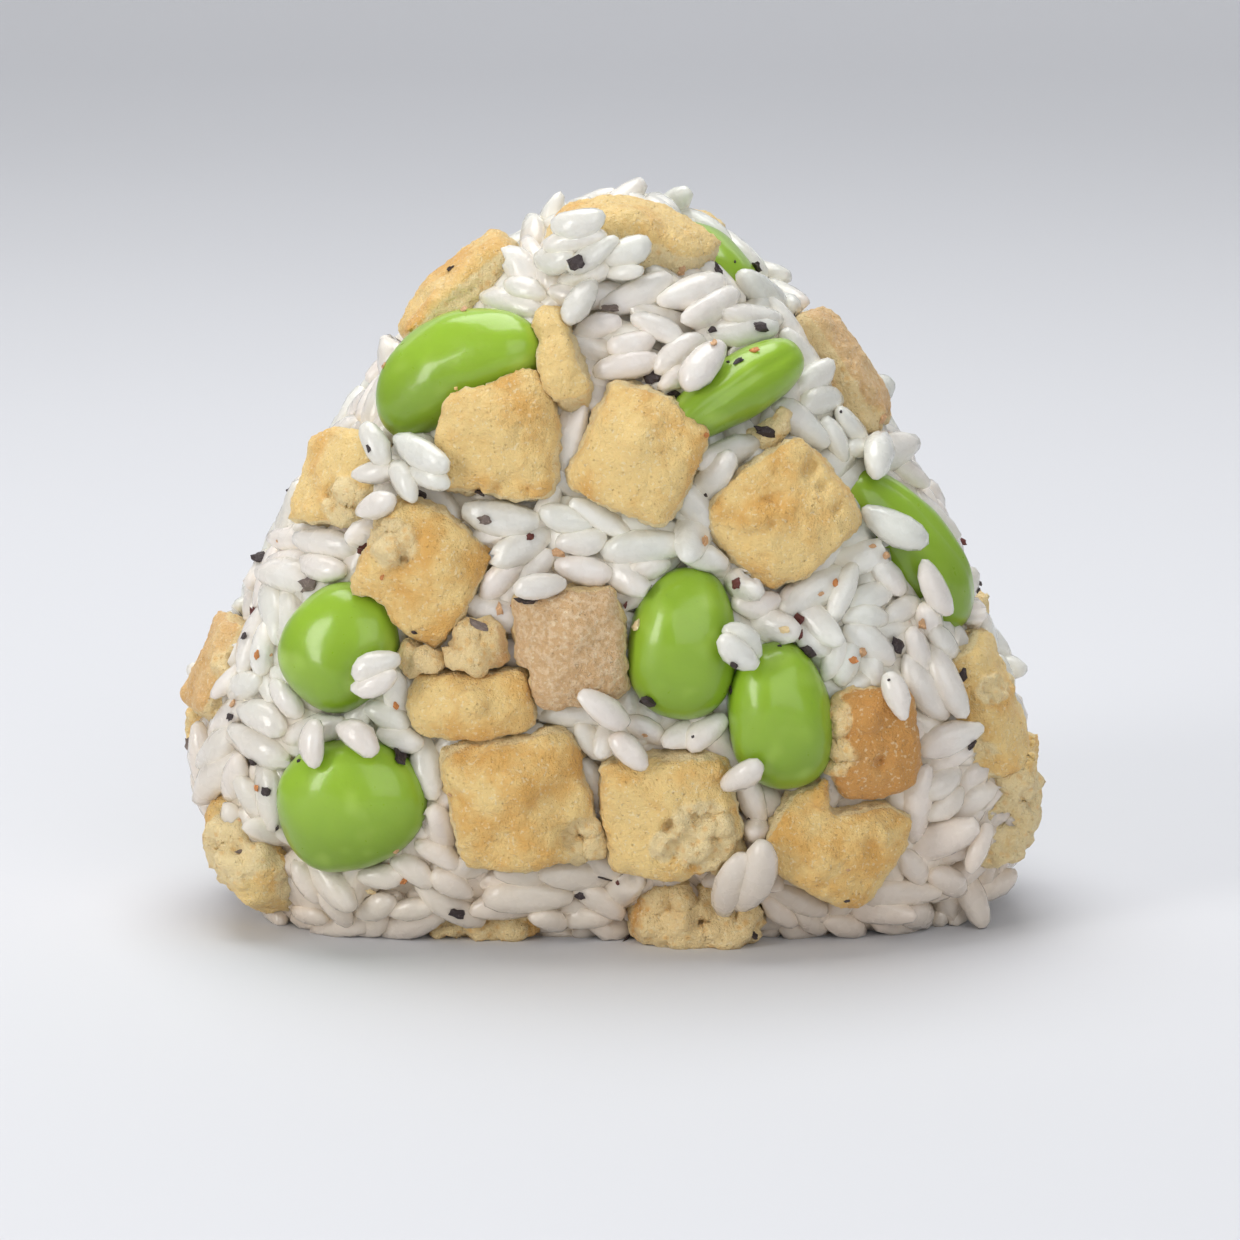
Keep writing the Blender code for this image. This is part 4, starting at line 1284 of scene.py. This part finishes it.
def bean_finish(settings):
    """Glossy skin of a boiled green soybean, with painted shade that darkens its lower part."""
    finish = Finish("soybean_skin")
    place = finish.place()
    soft = finish.noise(place, 6 * MM, 2)
    fine = finish.noise(place, 0.7 * MM, 3)
    # Painted shade: the duller green is painted low on each bean, mixed with soft random mottling.
    low = finish.value("low")
    shade = finish.step(low * 0.75 + soft * 0.45, 0.25, 0.95)
    colour = finish.mix(tuple(settings.colour), tuple(settings.deep), shade)
    pale = finish.step(finish.noise(place, 3.5 * MM, 1), 0.52, 0.78)
    colour = finish.mix(colour, (0.47, 0.66, 0.12), pale * 0.45)
    specks = finish.step(finish.cells(place, 0.9 * MM), 0.16, 0.05)
    colour = finish.mix(colour, (0.22, 0.36, 0.03), specks * 0.25)
    finish.paint(base_color=colour, roughness=settings.gloss + fine * 0.12)
    finish.shader.inputs["Coat Weight"].default_value = 0.5
    finish.shader.inputs["Coat Roughness"].default_value = 0.13
    finish.shader.inputs["Specular IOR Level"].default_value = 0.35
    finish.bump(fine * 0.5 + finish.noise(place, 2.4 * MM, 1), 0.12 * MM, 0.5)
    finish.glow_through(0.25, (0.45, 0.9, 0.12), 1.2 * MM)
    return finish.material


def tofu_finish(settings):
    """Fried tofu: golden wrinkled crust with deeper patches, cream porous cut sides, and painted
    shade in its pits.
    """
    finish = Finish("fried_tofu")
    place = finish.place()
    patches = finish.noise(place, 4.6 * MM, 3, 0.6)
    fine = finish.noise(place, 0.55 * MM, 3, 0.6)
    fuzz = finish.noise(place, 0.22 * MM, 2, 0.7)
    crust = finish.value("crust")
    toast = finish.value("toast")
    deep = finish.step(patches + toast * 0.34 + fine * 0.12, 0.56, 0.86)
    colour = finish.mix(tuple(settings.crust), tuple(settings.orange), deep * 0.85)
    colour = finish.mix(colour, tuple(settings.brown), finish.step(toast, 0.45, 0.95) * 0.8)
    fluff = finish.value("fluff")
    bready = finish.mix((0.66, 0.44, 0.235), (0.80, 0.62, 0.40), finish.step(fine, 0.42, 0.62))
    colour = finish.mix(colour, bready, fluff * 0.8)
    sides = finish.mix(tuple(settings.crumb), tuple(settings.orange),
                       finish.step(finish.cells(place, 1.0 * MM), 0.42, 0.08) * 0.4 + toast * 0.3)
    ragged = finish.step(crust + (patches - 0.5) * 0.9 + (fine - 0.5) * 0.5, 0.3, 0.7)
    colour = finish.mix(sides, colour, ragged)
    specks = finish.step(finish.noise(place, 0.34 * MM, 1), 0.60, 0.72)
    colour = finish.mix(colour, (0.93, 0.83, 0.58), specks * 0.38)
    # Painted shade: the pits, pressed in by the bump below, are painted darker and more orange.
    holes = finish.step(finish.cells(place, 0.62 * MM), 0.20, 0.04)
    colour = finish.mix(colour, (0.62, 0.34, 0.08), holes * 0.30)
    finish.paint(base_color=colour, roughness=0.52 + fuzz * 0.22)
    finish.shader.inputs["Specular IOR Level"].default_value = 0.42
    finish.shader.inputs["Sheen Weight"].default_value = 0.12
    finish.bump(fine * 0.9 + fuzz * 0.6 - holes * 0.35, 0.45 * MM, 0.9)
    finish.glow_through(0.18, (1.0, 0.62, 0.28), 0.9 * MM)
    return finish.material


def pepper_finish(kind):
    """Ground pepper of one colour, dull with paler broken faces."""
    finish = Finish("pepper_" + kind)
    place = finish.place()
    grit = finish.noise(place, 0.35 * MM, 3, 0.7)
    colour = FLAKE_COLOURS[kind]
    pale = tuple(min(1, value * 1.8 + 0.04) for value in colour)
    finish.paint(base_color=finish.mix(colour, pale, finish.step(grit, 0.5, 0.75)),
                 roughness=0.42 + grit * 0.3)
    finish.bump(grit, 0.15 * MM, 0.8)
    return finish.material


def backdrop_finish(settings):
    """Plain pale floor and wall."""
    finish = Finish("backdrop")
    cloudy = finish.noise(finish.place(), 0.25, 2)
    pale = tuple(settings.backdrop)
    finish.paint(base_color=finish.mix(pale, tuple(value * 0.96 for value in pale), cloudy),
                 roughness=0.85 + cloudy * 0.1)
    return finish.material


# Operators


class RICEBALL_OT_beans(Operator):
    """Set the green soybeans in their places."""

    bl_idname = "riceball.beans"
    bl_label = "Set the Beans"

    def execute(self, context):
        """Makes each bean where its solid is."""
        skin = bean_finish(context.scene.bean_settings)
        guide = core_form("guide", 56, 20)
        tree = tree_of(guide)
        for bean in BEANS:
            piece = bean_form(bean, tree)
            # How low each point lies on its bean: the mask of the painted shade on the lower part.
            points = points_of(piece)
            height = points[:, 2]
            set_values(piece, "low", 1 - (height - height.min()) / np.ptp(height))
            finish_piece(piece, skin, "bean", bean.node)
        drop([guide])
        return {"FINISHED"}


class RICEBALL_OT_tofu(Operator):
    """Set the squares of fried tofu in their places."""

    bl_idname = "riceball.tofu"
    bl_label = "Set the Fried Tofu"

    def execute(self, context):
        """Makes each square from its solid, and the torn chip."""
        settings = context.scene.tofu_settings
        crust = tofu_finish(settings)
        guide = core_form("guide", 56, 20)
        tree = tree_of(guide)
        for node in sorted(name for name in frame["nodes"] if name.startswith("tofu")):
            low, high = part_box(node)
            _, outward, _, _ = tree.find_nearest((low + high) / 2)
            piece = tofu_form(node, outward, settings, context.scene.stage_settings)
            finish_piece(piece, crust, "tofu", node)
        trees = [tree, *(tree_of(piece) for piece in toppings_of(context.scene))]
        chip = chip_form(trees, context.scene.stage_settings, settings.detail)
        finish_piece(chip, crust, "tofu")
        drop([guide])
        return {"FINISHED"}


class RICEBALL_OT_grains(Operator):
    """Lay the grains of rice over the core and round the toppings."""

    bl_idname = "riceball.grains"
    bl_label = "Lay the Grains"

    def execute(self, context):
        """Lays the grains that stand out, then the rest in three layers, and joins them."""
        settings = context.scene.rice_settings
        view = context.scene.stage_settings
        draw = random.Random(settings.seed)
        guide = core_form("guide", 56, 32)
        guide_tree = tree_of(guide)
        neighbours = [self.reach(piece) for piece in toppings_of(context.scene)]
        trees = [guide_tree, *(tree for tree, _, _ in neighbours)]
        upper = Lie()
        near_grains(upper, trees, view, draw, settings.width)
        scatter_grains(upper, guide, guide_tree, neighbours, settings, draw, UPPER)
        settled = settle(upper, guide_tree, neighbours)
        forms = [grain_form(index, form, *UPPER_FACETS) for index, form in enumerate(GRAIN_FORMS)]
        coarse = [grain_form(index, form, *LOWER_FACETS) for index, form in enumerate(GRAIN_FORMS)]
        rows = grain_rows(forms, guide_tree, settled, draw)
        rows, settled = tuck(rows, settled, guide_tree, neighbours, view)
        filling = Lie()
        for middle, direction, length, width, loose in zip(*settled):
            filling.add(Vector(middle), Vector(direction), length, width, None, loose)
        filling.rows = []
        scatter_grains(filling, guide, guide_tree, neighbours, settings, draw, FILLING)
        lower = Lie()
        scatter_grains(lower, guide, guide_tree, neighbours, settings, draw, LOWER)
        deep = columns(filling.rows + lower.rows)
        more = grain_rows(coarse, guide_tree, deep, draw)
        more, deep = tuck(more, deep, guide_tree, neighbours, view)
        rows += more
        everything = tuple(np.concatenate(pair) for pair in zip(settled, deep))
        # Painted shade: how near each grain point is to another grain, for the shade painted along
        # contact lines.
        contact_shade = touching(rows, everything)
        tints = [np.full(len(points), draw.random()) for points, _ in rows]
        inside = points_of(guide)
        middle = np.array((SHIFT.x, SHIFT.y, CORE_MIDDLE_Z)) * MM
        inward = middle - inside
        inward /= np.linalg.norm(inward, axis=1)[:, None]
        rows.append((inside + inward * CORE_INSET * MM, faces_of(guide)))
        rice = join_rows("rice_grains", rows)
        points = points_of(rice)
        # Painted shade: a crease value of one paints the sunken core wholly in the hollow colour,
        # as shade under the grains.
        set_values(rice, "crease", np.concatenate([*contact_shade, np.ones(len(inside))]))
        set_values(rice, "tint", np.concatenate([*tints, np.full(len(inside), 0.5)]))
        # How far each point lies above the guide surface: points below it get painted shade.
        heights = [height_over(guide_tree, Vector(point))[0] / MM for point in points]
        set_values(rice, "height", heights)
        set_points(rice, raise_to_floor(points))
        drop([guide, *forms, *coarse])
        finish_piece(rice, rice_finish(settings), "rice", "rice")
        return {"FINISHED"}

    def reach(self, piece):
        """A topping's search tree, its middle and how far it reaches from there."""
        points = points_of(piece)
        middle = (points.min(0) + points.max(0)) / 2
        far = float(np.linalg.norm(points - middle, axis=1).max())
        return tree_of(piece), Vector(middle), far


class RICEBALL_OT_pepper(Operator):
    """Sprinkle the ground pepper."""

    bl_idname = "riceball.pepper"
    bl_label = "Sprinkle the Pepper"

    def execute(self, context):
        """Lays the flakes that the view shows, and more round the sides and back."""
        settings = context.scene.pepper_settings
        view = context.scene.stage_settings
        draw = random.Random(settings.seed)
        under = [piece for piece in context.scene.objects
                 if piece.name.startswith(("soybean_", "fried_", "rice_"))]
        trees = [tree_of(piece) for piece in under]
        forms = [flake_form(index) for index in range(5)]
        shapes = [(points_of(form), faces_of(form)) for form in forms]
        rows = {kind: [] for kind in FLAKE_COLOURS}
        point_size = view.distance / (view.lens / SENSOR_WIDTH * VIEW_SIDE)
        for across, down, wide, high, turn, kind in FLAKES:
            start, direction = view_ray(view, across, down)
            hit = first_hit(trees, start, direction)
            if hit:
                size = (wide * point_size, high * point_size, min(wide, high) * point_size * 0.5)
                self.lay(rows[kind], shapes, hit, size, math.radians(turn), draw)
        for _ in range(settings.behind):
            angle = draw.uniform(0.35, math.tau - 0.35) - math.pi / 2
            height = draw.uniform(4, 58) * MM
            start = Vector((math.cos(angle) * 0.1, math.sin(angle) * 0.1, height))
            target = Vector((draw.uniform(-26, 26), 0, height / MM)) * MM
            direction = (target - start).normalized()
            hit = first_hit(trees, start, direction)
            if hit is None or (hit[0].y < -8 * MM and hit[1].y < -0.4):
                continue
            wide = draw.uniform(0.5, 1.6) * MM
            size = (wide, wide * draw.uniform(0.45, 0.95), wide * 0.4)
            kind = draw.choice(BEHIND_KINDS)
            self.lay(rows[kind], shapes, hit, size, draw.uniform(0, math.tau), draw)
        self.join(rows)
        drop(forms)
        return {"FINISHED"}

    def lay(self, rows, shapes, hit, size, turn, draw):
        """Lays one flake on what a ray met."""
        points, faces = shapes[draw.randrange(len(shapes))]
        tip = Matrix.Rotation(draw.gauss(0, 0.25), 3, "X")
        lean = tip @ Matrix.Rotation(draw.gauss(0, 0.25), 3, "Y")
        matrix = standing(hit[0], hit[1], turn, size[2] * 0.22)
        turned = np.array(matrix.to_3x3() @ lean)
        placed = (points * np.array(size)) @ turned.T + np.array(matrix.translation)
        rows.append((raise_to_floor(placed), faces))

    def join(self, rows):
        """Makes one piece of the flakes of each colour."""
        for kind, flakes in rows.items():
            if flakes:
                piece = join_rows("pepper_" + kind, flakes)
                finish_piece(piece, pepper_finish(kind), "rice", "rice", smooth=False)


class RICEBALL_OT_stage(Operator):
    """Set the floor, backdrop, lights and camera."""

    bl_idname = "riceball.stage"
    bl_label = "Set the Stage"

    def execute(self, context):
        """Makes one sheet for floor and wall, a window, a fill, the surroundings and the camera."""
        settings = context.scene.stage_settings
        self.sheet(backdrop_finish(settings))
        self.light(
            "window", (-0.50, -0.40, 0.24), (0.20, 0.42), settings.window, (1.0, 0.985, 0.96))
        self.light("fill", (0.25, -0.75, 0.40), (0.7, 0.7), settings.fill, (0.97, 0.98, 1.0))
        self.light("above", (-0.05, 0.12, 0.62), (0.5, 0.5), settings.fill * 1.4, (1.0, 1.0, 1.0))
        wall = self.light("wall_wash", (0, 0.95, 0.7), (2.0, 0.5), settings.wash, (1.0, 0.99, 0.98))
        wall.rotation_euler = (0, 0, 0)
        world = bpy.data.worlds.new("surroundings")
        world.use_nodes = True
        background = world.node_tree.nodes["Background"]
        background.inputs["Color"].default_value = (0.86, 0.90, 0.96, 1)
        background.inputs["Strength"].default_value = settings.sky
        context.scene.world = world
        context.scene.view_settings.view_transform = "Standard"
        self.camera(context.scene, settings)
        return {"FINISHED"}

    def sheet(self, finish):
        """A floor that curves up into the wall."""
        clear_selection()
        bpy.ops.mesh.primitive_plane_add(size=1)
        sheet = name_piece("backdrop")
        bpy.ops.object.mode_set(mode="EDIT")
        bpy.ops.transform.resize(value=(3.0, 2.4, 1))
        bpy.ops.mesh.select_all(action="DESELECT")
        bpy.ops.object.mode_set(mode="OBJECT")
        for edge in sheet.data.edges:
            edge.select = all(sheet.data.vertices[index].co.y > 0 for index in edge.vertices)
        for vertex in sheet.data.vertices:
            vertex.select = vertex.co.y > 0
        bpy.ops.object.mode_set(mode="EDIT")
        bpy.ops.mesh.extrude_region_move(TRANSFORM_OT_translate={"value": (0, 0, 1.6)})
        bpy.ops.object.mode_set(mode="OBJECT")
        shape_with(sheet, "BEVEL", width=0.35, segments=14, limit_method="ANGLE")
        sheet.data.materials.append(finish)
        bpy.ops.object.shade_smooth()

    def light(self, name, place, size, power, colour):
        """A soft rectangular light that faces the rice ball."""
        clear_selection()
        bpy.ops.object.light_add(type="AREA", location=place)
        light = name_piece(name)
        light.rotation_euler = (Vector(place) - VIEW_TARGET).to_track_quat("Z", "Y").to_euler()
        light.data.shape = "RECTANGLE"
        light.data.size, light.data.size_y = size
        light.data.energy = power
        light.data.color = colour
        return light

    def camera(self, scene, settings):
        """A long lens, a little above the horizon."""
        eye, _, _, back = view_frame(settings)
        clear_selection()
        bpy.ops.object.camera_add(location=eye, rotation=back.to_track_quat("Z", "Y").to_euler())
        camera = name_piece("camera")
        camera.data.lens = settings.lens
        camera.data.sensor_width = SENSOR_WIDTH
        camera.data.clip_start = 0.01
        scene.camera = camera


class RICEBALL_PT_sidebar(Panel):
    """Lists the steps and the settings."""

    bl_label = "Rice Ball"
    bl_idname = "RICEBALL_PT_sidebar"
    bl_space_type = "VIEW_3D"
    bl_region_type = "UI"
    bl_category = "Rice Ball"

    def draw(self, context):
        """Draws a box for each group of settings, with its step below it."""
        for group, steps in STEPS:
            box = self.layout.box()
            settings = getattr(context.scene, group)
            for key in settings.bl_rna.properties.keys():
                if key not in {"rna_type", "name"}:
                    box.prop(settings, key)
            for step in steps:
                box.operator(step.bl_idname)


SETTINGS = {
    "rice_settings": RiceSettings, "bean_settings": BeanSettings, "tofu_settings": TofuSettings,
    "pepper_settings": PepperSettings, "stage_settings": StageSettings,
}
STEPS = (
    ("rice_settings", (RICEBALL_OT_grains,)),
    ("bean_settings", (RICEBALL_OT_beans,)),
    ("tofu_settings", (RICEBALL_OT_tofu,)),
    ("pepper_settings", (RICEBALL_OT_pepper,)),
    ("stage_settings", (RICEBALL_OT_stage,)),
)
CLASSES = (
    RICEBALL_OT_beans, RICEBALL_OT_tofu, RICEBALL_OT_grains,
    RICEBALL_OT_pepper, RICEBALL_OT_stage, RICEBALL_PT_sidebar,
)


def register():
    """Registers the settings, steps and panel."""
    for name, group in SETTINGS.items():
        bpy.utils.register_class(group)
        setattr(bpy.types.Scene, name, PointerProperty(type=group))
    for row in CLASSES:
        bpy.utils.register_class(row)


def unregister():
    """Removes the panel, steps and settings."""
    for row in reversed(CLASSES):
        bpy.utils.unregister_class(row)
    for name, group in SETTINGS.items():
        delattr(bpy.types.Scene, name)
        bpy.utils.unregister_class(group)


def main():
    """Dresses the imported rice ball."""
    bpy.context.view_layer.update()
    register()
    bpy.ops.riceball.beans()
    bpy.ops.riceball.tofu()
    bpy.ops.riceball.grains()
    bpy.ops.riceball.pepper()
    bpy.ops.riceball.stage()


if __name__ == "__main__":
    main()
